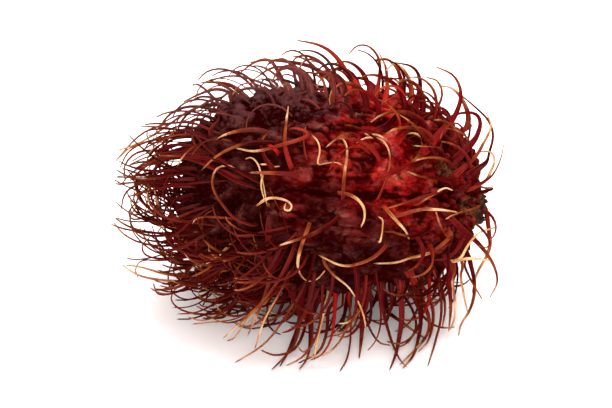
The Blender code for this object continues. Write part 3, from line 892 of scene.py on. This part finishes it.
def grow_characters(places):
    """Start, heading, bending axis, length, turn, gathering, twist and wander of every spine. The heading
    is the normal plus lean times the way to the blossom end along the skin, and plus a share of down on
    the belly."""
    count = len(places)
    normal = egg_normal(places)
    blossom = smooth_step(6, 24, -places[:, 0])
    stalk = smooth_step(12, 24, places[:, 0])
    below = smooth_step(-4, -12, places[:, 1])
    hang = below * (1 - blossom)
    sweep_to = unit(BACK - (normal @ BACK)[:, None] * normal + 1e-3 * CROWN)
    astray = random.normal(0, 0.20, count) * (1 - 0.4 * blossom)
    contrary = random.random(count) < 0.06 * hang
    sweep_to = turned(sweep_to, normal, astray + math.pi * contrary)
    upper = smooth_step(-6, 6, places[:, 1])
    off_pole = smooth_step(3, 9, np.hypot(places[:, 1], places[:, 2]))
    crown = smooth_step(8, 13, places[:, 1]) * (1 - blossom)
    lean = random.normal(0.15, 0.15, count) + (0.22 + 0.52 * upper) * blossom
    lean = lean + 0.48 * stalk * (1 - below) - 0.25 * crown
    downward = 0.8 * hang[:, None] * DOWN
    heading = unit(normal + lean[:, None] * sweep_to + 0.06 * random.normal(size=(count, 3)) + downward)
    axes = unit(np.cross(heading, sweep_to) + 0.11 * random.normal(size=(count, 3)))
    length = np.clip(random.normal(USUAL_LENGTH, 1.8, count), 9.0, 18.0)
    length = length + 3.4 * blossom * off_pole + 2.4 * hang
    curl = 1 - (0.34 + 0.08 * upper) * blossom + 0.30 * stalk * (1 - below)
    turn = np.radians(np.clip(random.normal(USUAL_TURN, 26, count), 76, 190)) * curl
    turn = turn * (1 - 0.15 * hang + 0.34 * crown)
    past_back = np.radians(np.clip(random.normal(42, 24, count), 12, 110))
    to_back = np.arccos(np.clip(heading @ BACK, -1, 1)) + past_back
    turn = turn + blossom * (to_back - turn)
    gather = random.uniform(0.0, 1.1, count) + 1.5 * hang + 0.5 * crown + 0.5 * blossom
    twist = random.normal(0, 0.5, count) * (1 - 0.6 * crown)
    return places - ROOT_SINK * normal, heading, axes, length, turn, gather, twist, SPINE_WANDER


# %% Build the spines
REACH_LOW = np.array([-39.5, -31.8, -34.0])
REACH_HIGH = np.array([29.4, 28.0, 34.0])
SCARLET = 0.90


def drawn_in(lines):
    """Lines that reach past the bounds are shrunk towards their roots until they fit."""
    root = lines[:, :1]
    from_root = lines - root
    over = np.maximum(from_root / (REACH_HIGH - root), from_root / (REACH_LOW - root)).max((1, 2))
    return root + from_root / np.maximum(over, 1)[:, None, None]


def grow_spines(places):
    """The spines as one piece. A strap is wide and tapers evenly, the others are thin and taper late;
    those of the blossom end are thinner and darker, and those of the belly thinner and a little drier."""
    lines = drawn_in(walk(*grow_characters(places)))
    count = len(lines)
    tone = np.where(random.random(count) < 0.05, SCARLET, random.uniform(0, 0.74, count))
    tone = tone * (1 - 0.28 * smooth_step(0, 12, -places[:, 0]))
    blossom = smooth_step(4, 14, -places[:, 0])
    strap = random.random(count) < 0.58 - 0.48 * blossom
    wide = random.uniform(0.68, 0.92, count)
    thin = random.uniform(0.39, 0.62, count) - 0.21 * blossom
    half = np.where(strap, wide, thin) * (1 - 0.22 * smooth_step(-4, -12, places[:, 1]))
    flare = random.uniform(0.25, 0.50, count) + 0.20 * smooth_step(8, 13, places[:, 1]) * (1 - blossom)
    tip = random.uniform(0.10, 0.15, count)
    power = np.where(strap, random.uniform(0.8, 1.2, count), random.uniform(0.4, 0.8, count))
    flatness = random.uniform(0.36, 0.62, count)
    roll = np.stack([random.uniform(0, math.pi, count), random.normal(0, 0.9, count)], axis=1)
    dry = np.clip(random.normal(0.08, 0.15, count), 0, 1) + 0.04 * smooth_step(-6, -12, places[:, 1])
    return tube_mesh("spines", lines, SPINE_RINGS, SPINE_SIDES, half, tip, flare, power, flatness, roll,
                     dry=dry, tone=tone, ripe=ripeness(places), bloom=bloom_share(places))


spines = grow_spines(roots[kept])

# %% [markdown]
# ## Stray hairs
# The drying spines split, and their thinnest shreds fill the space between the others, most of all under
# the blossom end. They are walked like the spines, from roots picked by chance near the spines' own.

# %% Grow the hairs
HAIR_COUNT = 350
HAIR_WANDER = 0.07
HAIR_RINGS = 11
HAIR_SIDES = 4


def grow_hairs():
    """The hairs as one piece. A root has the weight (0.3 + 0.3 towards the blossom end)(1 - 0.85 facing
    the viewer) + 3 in the nest under the blossom end, and the hair starts beside it."""
    nest = smooth_step(0, 8, -roots[:, 0]) * smooth_step(3, 10, -roots[:, 1])
    weight = (0.3 + 0.3 * smooth_step(-2, 12, -roots[:, 0])) * (1 - 0.85 * facing) + 3.0 * nest
    chosen = random.choice(len(roots), HAIR_COUNT, p=weight / weight.sum())
    beside = roots[chosen] + random.normal(0, 0.9, (HAIR_COUNT, 3))
    normal = egg_normal(beside)
    sweep_to = unit(BACK - (normal @ BACK)[:, None] * normal)
    sweep_to = turned(sweep_to, normal, random.normal(0, 0.35, HAIR_COUNT))
    blossom = smooth_step(4, 24, -beside[:, 0])
    lean = (0.2 + 0.3 * blossom)[:, None]
    heading = unit(normal + lean * sweep_to + 0.15 * random.normal(size=(HAIR_COUNT, 3)))
    axes = unit(np.cross(heading, sweep_to) + 0.2 * random.normal(size=(HAIR_COUNT, 3)))
    crown = smooth_step(6, 12, beside[:, 1]) * (1 - blossom)
    length = random.uniform(12, 19, HAIR_COUNT) * (1 - 0.3 * crown)
    turn = np.radians(random.uniform(80, 200, HAIR_COUNT)) * (1 - 0.20 * blossom)
    gather = random.uniform(0.0, 1.4, HAIR_COUNT)
    twist = random.normal(0, 0.6, HAIR_COUNT)
    start = beside - ROOT_SINK * normal
    lines = drawn_in(walk(start, heading, axes, length, turn, gather, twist, HAIR_WANDER))
    half = random.uniform(0.22, 0.38, HAIR_COUNT)
    tip = random.uniform(0.09, 0.13, HAIR_COUNT)
    flare = np.full(HAIR_COUNT, 0.15)
    power = random.uniform(0.4, 0.9, HAIR_COUNT)
    flatness = np.full(HAIR_COUNT, 0.6)
    roll = np.zeros((HAIR_COUNT, 2))
    dry = np.clip(random.normal(-0.05, 0.17, HAIR_COUNT), -0.15, 1)
    tone = random.uniform(0.0, 0.7, HAIR_COUNT)
    return tube_mesh("hairs", lines, HAIR_RINGS, HAIR_SIDES, half, tip, flare, power, flatness, roll,
                     dry=dry, tone=tone, ripe=ripeness(beside), bloom=bloom_share(beside))


hairs = grow_hairs()

# %% [markdown]
# ## The chosen spines in the round
# Their lines were drawn over the plain egg, so they are first lifted clear of the warts and of the floor.
# A ray cast against the finished skin would do the same, but the relief is a formula and can simply be
# asked.

# %% Lift the lines
OVER_RELIEF = 0.5
WIDEN = 8
EVEN_OUT = 13


def above_skin(path):
    """The same path, lifted along the normal wherever the uneven skin would bury it, except at its root.
    The lift is the greatest that is needed nearby, evened out by a running mean."""
    share = np.linspace(0, 1, len(path))
    base = path - egg_normal(path) * egg_depth(path)[:, None]
    needed = np.maximum(skin_relief(base) + OVER_RELIEF - egg_depth(path), 0) * smooth_step(0.06, 0.22, share)
    padded = np.pad(needed, WIDEN, mode="edge")
    evened = np.max([padded[k:k + len(path)] for k in range(0, 2 * WIDEN + 1, 4)], axis=0)
    padded = np.pad(evened, EVEN_OUT // 2, mode="edge")
    evened = np.convolve(padded, np.full(EVEN_OUT, 1 / EVEN_OUT), mode="valid")
    return path + egg_normal(path) * evened[:, None]


def above_table(path, clearance=0.8):
    """The same path, brought out along the view wherever it would sink into the floor: it then lies on
    the floor in front of the fruit, and looks the same from the main camera."""
    sunk = np.maximum(clearance - height_above_floor(path), 0)
    return path - np.array([0, 0, 1.0]) * (sunk / DOWN[2])[..., None]


lifted = [above_table(above_skin(path)) for path in chosen_paths]
moved = [np.linalg.norm(after - before, axis=1).max() for after, before in zip(lifted, chosen_paths)]
print("moved by up to", round(float(max(moved)), 2), "mm")

# %% Sweep the chosen spines
CHOSEN_RINGS = 25
CHOSEN_SIDES = 8
PALE_FROM = 0.8
PALE_WIDTH = 0.62
FRESH_WIDTH = 0.92


def sweep_chosen():
    """The chosen spines as one piece. Their half width is the listed one times a share that is less for
    the pale shreds, their flare 0.45 of it, and the wider ones taper more evenly."""
    count = len(CHOSEN)
    half = np.array([half * (PALE_WIDTH if dry > PALE_FROM else FRESH_WIDTH) for half, _, dry, _ in CHOSEN])
    tone = np.array([tone for _, tone, _, _ in CHOSEN])
    dry = np.array([dry for _, _, dry, _ in CHOSEN])
    tip = np.full(count, 0.13)
    flatness = np.full(count, 0.36)
    roll = np.stack([random.normal(0, 0.5, count), random.normal(0, 0.8, count)], axis=1)
    return tube_mesh("chosen_spines", lifted, CHOSEN_RINGS, CHOSEN_SIDES, half, tip, 0.45 * half,
                     0.6 + 0.4 * half, flatness, roll, loose=chosen_loose, dry=dry, tone=tone,
                     ripe=ripeness(chosen_roots), bloom=bloom_share(chosen_roots))


chosen_spines = sweep_chosen()

# %% [markdown]
# ## The stub of the stalk
# Where the fruit was picked a short woody stub is left, a torn ring of bark round darker fibres. It is a
# turned profile: a wall that leaves the skin, a rim, and a hollow that closes at the middle. Noise along
# the rim makes it ragged.

# %% Stalk stub
STUB_SIDES = 72
STUB_PROFILE = [
    # place along the stalk and radius, from under the skin over the rim into the hollow
    (-2.2, 3.3), (-1.2, 3.25), (-0.4, 3.0), (0.4, 2.85), (1.0, 2.75), (1.35, 2.55), (1.45, 2.3),
    (1.2, 2.1), (0.7, 1.9), (0.2, 1.6), (-0.1, 1.2), (-0.1, 0.8), (0.1, 0.4),
]
STUB_MIDDLE = 0.2


def stub_points():
    """Each ring of the profile, with its radius and its place along the stalk moved by noise."""
    profile = np.array(STUB_PROFILE)
    around = np.linspace(0, 2 * math.pi, STUB_SIDES, endpoint=False)
    circle = np.stack([0 * around, np.cos(around), np.sin(around)], axis=-1)
    ring = profile[:, 1:, None] * circle[None]
    ring[..., 0] = profile[:, :1]
    torn = noise(circle * 3 + [9, 0, 0], 0.9, 81) + 0.6 * noise(circle * 3, 0.4, 83)
    high = smooth_step(-0.6, 1.3, profile[:, 0])[:, None]
    ring[..., 0] += 0.55 * high * torn[None]
    swell = 1 + 0.10 * noise(ring + 5, 1.1, 85) + 0.05 * noise(ring, 0.5, 87)
    ring[..., 1:] *= swell[..., None]
    return np.concatenate([ring.reshape(-1, 3), [[STUB_MIDDLE, 0, 0]]]) + [STALK_X, STALK_UP, 0]


stub_rings = len(STUB_PROFILE)
stub_end = stub_rings * STUB_SIDES
stub_faces = [
    ring_faces(stub_rings, STUB_SIDES)[:, ::-1],
    fan_faces(stub_end - STUB_SIDES, STUB_SIDES, stub_end, backwards=True),
]
stub = make_piece("stalk_stub", stub_points(), stub_faces, "stem_stub", "stem")

# %% [markdown]
# ## Colours of the skin
# Wet crimson flesh on the ripe side, dull maroon on the dry side, and painted shade near black in the
# creases.
# Painted sheen and highlights lighten the crown and the wettest patches. The colour follows the stored
# ripeness and relief, broken up by noise on object coordinates. A painted texture would need a flat map of
# the fruit, and noise in space needs none and has no seam.

# %% Material helpers


class Nodes:
    """A short way to write a material's node tree: every call adds one node and links what it is given."""

    def __init__(self, name):
        self.material = bpy.data.materials.new(name)
        self.material.use_nodes = True
        self.tree = self.material.node_tree
        self.shader = self.tree.nodes["Principled BSDF"]

    def add(self, kind, settings=None, **inputs):
        """One node of this kind. An underscore in the name of an input stands for a space."""
        node = self.tree.nodes.new(kind)
        for key, value in (settings or {}).items():
            setattr(node, key, value)
        for key, value in inputs.items():
            self.give(node, key.replace("_", " "), value)
        return node

    def give(self, node, socket, value):
        """Links or sets an input, which is known by its name or by its number in digits."""
        target = node.inputs[int(socket)] if socket.isdigit() else node.inputs[socket]
        if isinstance(value, bpy.types.NodeSocket):
            self.tree.links.new(value, target)
        else:
            target.default_value = value

    def attribute(self, name):
        """A number that is stored on the points."""
        return self.add("ShaderNodeAttribute", {"attribute_name": name}).outputs["Fac"]

    def object_coordinates(self):
        """The place in the piece's own metres."""
        return self.add("ShaderNodeTexCoord").outputs["Object"]

    def stretched_coordinates(self, x, y, z):
        """The place with each coordinate times its number, so below 1 a pattern is drawn out along it."""
        node = self.add("ShaderNodeVectorMath", {"operation": "MULTIPLY"})
        self.give(node, "0", self.object_coordinates())
        self.give(node, "1", (x, y, z))
        return node.outputs[0]

    def vector(self, x, y, z):
        """Three numbers as one vector."""
        return self.add("ShaderNodeCombineXYZ", None, X=x, Y=y, Z=z).outputs[0]

    def noise(self, scale, detail=4.0, rough=0.55, vector=None):
        """Noise from 0 to 1 with about this many features to the metre."""
        node = self.add("ShaderNodeTexNoise", None, Scale=scale, Detail=detail, Roughness=rough)
        self.give(node, "Vector", vector or self.object_coordinates())
        return node.outputs["Fac"]

    def math(self, operation, first, second=0.0):
        """One operation on one or two numbers."""
        node = self.add("ShaderNodeMath", {"operation": operation})
        self.give(node, "0", first)
        self.give(node, "1", second)
        return node.outputs[0]

    def plus(self, first, second):
        """The sum."""
        return self.math("ADD", first, second)

    def minus(self, first, second):
        """The difference."""
        return self.math("SUBTRACT", first, second)

    def times(self, first, second):
        """The product."""
        return self.math("MULTIPLY", first, second)

    def span(self, value, low, high, to_low=0.0, to_high=1.0):
        """Eases from to_low, where the value is low, to to_high, where it is high."""
        node = self.add("ShaderNodeMapRange", {"interpolation_type": "SMOOTHSTEP"})
        for socket, number in zip("01234", (value, low, high, to_low, to_high)):
            self.give(node, socket, number)
        return node.outputs[0]

    def ramp(self, value, stops):
        """A colour for a number, from a list of places and their colours."""
        node = self.add("ShaderNodeValToRGB")
        elements = node.color_ramp.elements
        for index, (place, colour) in enumerate(stops):
            element = elements[index] if index < len(elements) else elements.new(place)
            element.position = place
            element.color = (*colour, 1)
        self.give(node, "0", value)
        return node.outputs["Color"]

    def mix(self, share, first, second):
        """The first colour at a share of 0 and the second at 1."""
        node = self.add("ShaderNodeMix", {"data_type": "RGBA"})
        self.give(node, "0", share)
        self.give(node, "6", first if isinstance(first, bpy.types.NodeSocket) else (*first, 1))
        self.give(node, "7", second if isinstance(second, bpy.types.NodeSocket) else (*second, 1))
        return node.outputs[2]

    def bump(self, height, strength, distance, before=None):
        """The normal tilted by a height that is distance metres at 1, on top of the bump before it."""
        node = self.add("ShaderNodeBump", None, Height=height, Strength=strength, Distance=distance)
        if before is not None:
            self.give(node, "Normal", before)
        return node.outputs["Normal"]

    def finish(self, pieces, **inputs):
        """Gives the shader its inputs and every piece the material."""
        for key, value in inputs.items():
            self.give(self.shader, key.replace("_", " "), value)
        for piece in pieces:
            piece.data.materials.append(self.material)


# %% Flesh


def flesh_colour(n, ripe):
    """The colour of the living tissue and painted highlights, shared by the skin and the feet of the spines.
    """
    patches = n.noise(330, 6.0, 0.61, n.stretched_coordinates(0.65, 1, 1))
    # The palest pink-orange stops of the ripe ramp are painted highlights of the wet flesh.
    ripe_flesh_and_highlight = n.ramp(patches, [(0.33, (0.036, 0.0002, 0.0004)), (0.44, (0.155, 0.0011, 0.0015)),
                                   (0.54, (0.30, 0.0085, 0.0066)), (0.63, (0.39, 0.046, 0.028)),
                                   (0.74, (0.47, 0.155, 0.100))])
    dry_colour = n.ramp(patches, [(0.32, (0.004, 0.0001, 0.0002)), (0.48, (0.018, 0.0011, 0.0011)),
                                  (0.60, (0.046, 0.0075, 0.0068)), (0.74, (0.13, 0.050, 0.040))])
    return n.mix(ripe, dry_colour, ripe_flesh_and_highlight)


# %% Paint the skin
PAINTED_CREASE_SHADE = (0.012, 0.0001, 0.0002)
FIBRE = (0.020, 0.0002, 0.0004)
GRAIN = (0.010, 0.0001, 0.0002)
DRY_SPECK_SHEEN = (0.16, 0.060, 0.055)
RIPE_SPECK_SHEEN = (0.42, 0.100, 0.070)
PAINTED_SHEEN_SKIN = (0.105, 0.037, 0.038)


def skin_material(piece):
    """Flesh with painted shade in the creases, darker fibres and grain, painted sheen in pale specks and high
    on the crown, and corky in the crusts. The ripe skin is the wettest, in small patches away from the
    creases."""
    n = Nodes("rambutan skin")
    ripe = n.attribute("ripe")
    cavity_here = n.attribute("cavity")
    crust = n.attribute("crust")
    broad = n.noise(150, 3.0, 0.5)
    fine = n.noise(1100, 4.0, 0.6)
    colour = flesh_colour(n, ripe)
    # Painted shade, near black, where the skin lies below its surroundings, with broad patches of noise mixed
    # in.
    crease_shade_mask = n.plus(cavity_here, n.times(n.minus(broad, 0.5), 0.8))
    colour = n.mix(n.times(n.span(crease_shade_mask, -0.10, 0.40), 0.95), colour, PAINTED_CREASE_SHADE)
    fibres = n.noise(900, 3.0, 0.6, n.stretched_coordinates(0.3, 1, 1))
    colour = n.mix(n.span(fibres, 0.47, 0.34, 0.0, 0.48), colour, FIBRE)
    grain = n.noise(1700, 4.0, 0.6, n.stretched_coordinates(0.6, 1, 1))
    # A greyish painted sheen high on the crown's blossom half, less in the creases.
    painted_sheen_mask = n.span(n.minus(fine, n.times(crease_shade_mask, 0.3)), 0.42, 0.66, 0.0, 0.50)
    colour = n.mix(n.times(n.attribute("bloom"), painted_sheen_mask), colour, PAINTED_SHEEN_SKIN)
    colour = n.mix(n.span(grain, 0.50, 0.34, 0.0, 0.40), colour, GRAIN)
    # Pale pink-grey specks in the grain, a painted sheen.
    light = n.mix(ripe, DRY_SPECK_SHEEN, RIPE_SPECK_SHEEN)
    colour = n.mix(n.span(grain, 0.54, 0.74, 0.0, 0.14), colour, light)
    speckled = n.plus(n.times(cavity_here, -0.7), fine)
    shine = n.times(n.span(speckled, 0.58, 0.92), n.plus(n.times(ripe, 0.24), 0.04))
    shine = n.times(shine, n.minus(1.0, crust))
    cork = n.ramp(n.noise(1300, 6.0, 0.75), [(0.38, (0.006, 0.002, 0.001)), (0.49, (0.045, 0.008, 0.004)),
                                             (0.57, (0.11, 0.045, 0.018)), (0.64, (0.045, 0.045, 0.008)),
                                             (0.76, (0.30, 0.21, 0.11))])
    colour = n.mix(crust, colour, cork)
    rough = n.span(n.plus(n.times(ripe, 0.7), n.times(fine, 0.3)), 0, 1, 0.62, 0.30)
    normal = n.bump(n.plus(fine, fibres), 0.55, 0.0004)
    normal = n.bump(n.noise(3200, 3.0, 0.5), 0.15, 0.0001, normal)
    n.finish([piece], Base_Color=colour, Roughness=rough, Normal=normal, Specular_IOR_Level=0.0,
             Coat_Weight=shine, Coat_Roughness=0.22)


skin_material(rind_skin)
print("nodes in the skin:", len(rind_skin.active_material.node_tree.nodes))

# %% [markdown]
# ## Colours of the spines
# A spine dries from its tip. Its foot is flesh like the skin, its middle has its own tone in lengthwise
# streaks, and its tip turns to rust and at last to straw. All of it is mixed in one material from the
# share of the length, so that no spine needs a material of its own.

# %% Spine material
STREAKS_ACROSS = 2.4
STREAKS_ALONG = 2.0
TONE_APART = 37.0
PAINTED_SHEEN_SPINE = (0.215, 0.086, 0.073)
PAINTED_RIM_LIGHT = (0.34, 0.060, 0.014)


def spine_material(pieces):
    """Flesh at the foot, then the tone, dull on a dry side and bright on a ripe one, and at the tip rust
    and straw, which begin at a level of 0.9 times the share of the length + 0.8 times the dryness +
    unevenness."""
    n = Nodes("spine")
    along = n.attribute("along")
    dry_here = n.attribute("dry")
    tone_here = n.attribute("tone")
    across = n.times(n.attribute("side"), STREAKS_ACROSS)
    through = n.times(n.attribute("face"), STREAKS_ACROSS)
    lengthwise = n.plus(n.times(along, STREAKS_ALONG), n.times(tone_here, TONE_APART))
    streak_at = n.vector(across, through, lengthwise)
    streaks = n.noise(2.2, 4.0, 0.6, streak_at)
    patches = n.noise(330, 4.0, 0.6)
    uneven = n.plus(n.times(n.minus(patches, 0.5), 0.35), n.times(n.minus(streaks, 0.5), 0.45))
    streaky = n.times(n.minus(streaks, 0.5), 0.85)
    faded = n.times(along, -0.18)
    shade = n.plus(n.plus(tone_here, 0.04), n.plus(streaky, faded))
    dull = n.ramp(shade, [(0.0, (0.018, 0.0004, 0.0007)), (0.22, (0.065, 0.0016, 0.0026)),
                          (0.38, (0.070, 0.0036, 0.0042)), (0.50, (0.084, 0.010, 0.010)),
                          (0.64, (0.105, 0.007, 0.005)), (0.84, (0.23, 0.009, 0.005)),
                          (0.96, (0.37, 0.005, 0.006))])
    bright = n.ramp(shade, [(0.0, (0.030, 0.0002, 0.0006)), (0.22, (0.090, 0.0010, 0.0022)),
                            (0.46, (0.15, 0.0040, 0.0055)), (0.68, (0.21, 0.014, 0.008)),
                            (0.84, (0.29, 0.010, 0.005)), (0.96, (0.39, 0.005, 0.006))])
    ripe = n.attribute("ripe")
    root_share = n.span(n.plus(along, n.times(uneven, 0.4)), 0.05, 0.26, 1.0, 0.0)
    fresh = n.mix(root_share, n.mix(ripe, dull, bright), flesh_colour(n, ripe))
    # A greyish painted sheen on the spines of the crown, in streaks.
    painted_sheen_mask = n.times(n.attribute("bloom"), n.span(streaks, 0.42, 0.62, 0.10, 0.58))
    fresh = n.mix(painted_sheen_mask, fresh, PAINTED_SHEEN_SPINE)
    rust = n.ramp(patches, [(0.35, (0.12, 0.013, 0.004)), (0.65, (0.32, 0.080, 0.018))])
    mottled = n.plus(n.times(streaks, 0.6), n.times(patches, 0.4))
    straw = n.ramp(mottled, [(0.38, (0.20, 0.052, 0.013)), (0.49, (0.48, 0.22, 0.070)),
                             (0.61, (0.84, 0.62, 0.37))])
    level = n.plus(n.plus(n.times(along, 0.9), n.times(dry_here, 0.8)), uneven)
    colour = n.mix(n.span(level, 0.60, 1.12), fresh, rust)
    pale = n.span(level, 0.94, 1.20)
    colour = n.mix(pale, colour, straw)
    # An orange rim along the thin edges of each strap, a painted rim light, stronger on pale dried spines.
    edge = n.span(n.math("ABSOLUTE", n.attribute("side")), 0.72, 1.0)
    colour = n.mix(n.times(edge, n.plus(n.times(pale, 0.40), 0.22)), colour, PAINTED_RIM_LIGHT)
    shine = n.span(n.plus(streaks, n.times(along, -0.15)), 0.44, 0.68, 0.0, 0.28)
    normal = n.bump(streaks, 0.35, 0.0003)
    normal = n.bump(n.noise(1500, 3.0, 0.6), 0.20, 0.0002, normal)
    n.finish(pieces, Base_Color=colour, Roughness=0.5, Normal=normal, Specular_IOR_Level=0.0,
             Coat_Weight=shine, Coat_Roughness=0.32)


spine_material([spines, chosen_spines, hairs])
print("nodes in a spine:", len(spines.active_material.node_tree.nodes))

# %% [markdown]
# ## Colours of the stub
# Torn bark is dry and dull, almost black in its cracks and dusty on its fibres. One noise with four browns
# is enough for a piece that is this small.

# %% Stub material


def stub_material(piece):
    """Brown wood from nearly black to the colour of dust, without any shine."""
    n = Nodes("dry stalk")
    colour = n.ramp(n.noise(900, 6.0, 0.7), [(0.36, (0.006, 0.002, 0.0015)), (0.52, (0.030, 0.009, 0.005)),
                                             (0.64, (0.085, 0.036, 0.018)), (0.78, (0.20, 0.12, 0.065))])
    n.finish([piece], Base_Color=colour, Roughness=0.85, Normal=n.bump(n.noise(1700), 0.7, 0.0004),
             Specular_IOR_Level=0.05)


stub_material(stub)
print("nodes in the stub:", len(stub.active_material.node_tree.nodes))

# %% [markdown]
# ## Floor, light and camera
# A white table under a white sky, which give most of the light. A soft key light above and a little
# behind makes the crown shine, and a soft fill in front keeps the belly from going black. The camera has
# a long lens, because a short one would swell the spines that are nearest to it.

# %% Floor
FLOOR_HALF = 3.0


def make_floor():
    """A square white table at the frame's height 0."""
    mesh = bpy.data.meshes.new("floor")
    corners = [(-1, -1), (1, -1), (1, 1), (-1, 1)]
    mesh.from_pydata([(x * FLOOR_HALF, y * FLOOR_HALF, 0) for x, y in corners], [], [(0, 1, 2, 3)])
    floor = bpy.data.objects.new("floor", mesh)
    bpy.context.scene.collection.objects.link(floor)
    n = Nodes("white table")
    n.finish([floor], Base_Color=(0.98, 0.98, 0.98, 1), Roughness=0.9, Specular_IOR_Level=0.1)


make_floor()
print("floor:", 2 * FLOOR_HALF, "m wide")

# %% Lights


def make_light(name, place, target, size, power):
    """A soft square light, size metres wide, turned to its target, with its power in watts."""
    light = bpy.data.lights.new(name, "AREA")
    light.size = size
    light.energy = power
    lamp = bpy.data.objects.new(name, light)
    lamp.location = place
    direction = np.array(target) - np.array(place)
    lamp.rotation_euler = Vector(direction).to_track_quat("-Z", "Y").to_euler()
    bpy.context.scene.collection.objects.link(lamp)


make_light("key", (0.05, 0.16, 0.55), (0, 0, 0.02), 0.40, 4.2)
make_light("fill", (-0.05, -0.55, 0.22), (0, 0, 0.0), 0.50, 3.0)
print("lights:", len(bpy.data.lights))

# %% Sky
SKY_LOW = (1.16, 1.13, 1.12)
SKY_HIGH = (1.10, 0.94, 0.91)


def make_world():
    """White at the horizon and a little darker and pinker overhead, by the height of the direction."""
    world = bpy.data.worlds.new("studio")
    world.use_nodes = True
    tree = world.node_tree
    where = tree.nodes.new("ShaderNodeTexCoord")
    split = tree.nodes.new("ShaderNodeSeparateXYZ")
    dim = tree.nodes.new("ShaderNodeMapRange")
    tree.links.new(where.outputs["Generated"], split.inputs[0])
    tree.links.new(split.outputs["Z"], dim.inputs["Value"])
    for socket, number in (("From Min", 0.15), ("From Max", 0.45), ("To Min", 0.0), ("To Max", 1.0)):
        dim.inputs[socket].default_value = number
    shade = tree.nodes.new("ShaderNodeMix")
    shade.data_type = "RGBA"
    shade.inputs[6].default_value = (*SKY_LOW, 1)
    shade.inputs[7].default_value = (*SKY_HIGH, 1)
    tree.links.new(dim.outputs[0], shade.inputs[0])
    tree.links.new(shade.outputs[2], tree.nodes["Background"].inputs["Color"])
    bpy.context.scene.world = world


make_world()
print("sky overhead:", SKY_HIGH)

# %% Camera
LENS = 100.0
SENSOR = 36.0
WIDTH_SEEN = 111.272727
AIM_LEVEL = -5.1
AIM_RISE = -2.2


def make_camera():
    """Looks down by the tilt of the seam, from the distance width seen times lens / sensor width."""
    distance = WIDTH_SEEN * LENS / SENSOR
    aim = CENTRE + MM * (AIM_LEVEL * LEVEL + AIM_RISE * RISE)
    data = bpy.data.cameras.new("camera")
    data.lens = LENS
    data.sensor_width = SENSOR
    data.clip_start = 0.01
    camera = bpy.data.objects.new("camera", data)
    camera.location = aim + FRONT * distance * MM
    camera.rotation_euler = (math.pi / 2 - VIEW_TILT, 0, 0)
    bpy.context.scene.collection.objects.link(camera)
    bpy.context.scene.camera = camera


make_camera()
bpy.context.scene.view_settings.view_transform = "Standard"
print("camera to the fruit in mm:", round(WIDTH_SEEN * LENS / SENSOR, 1))
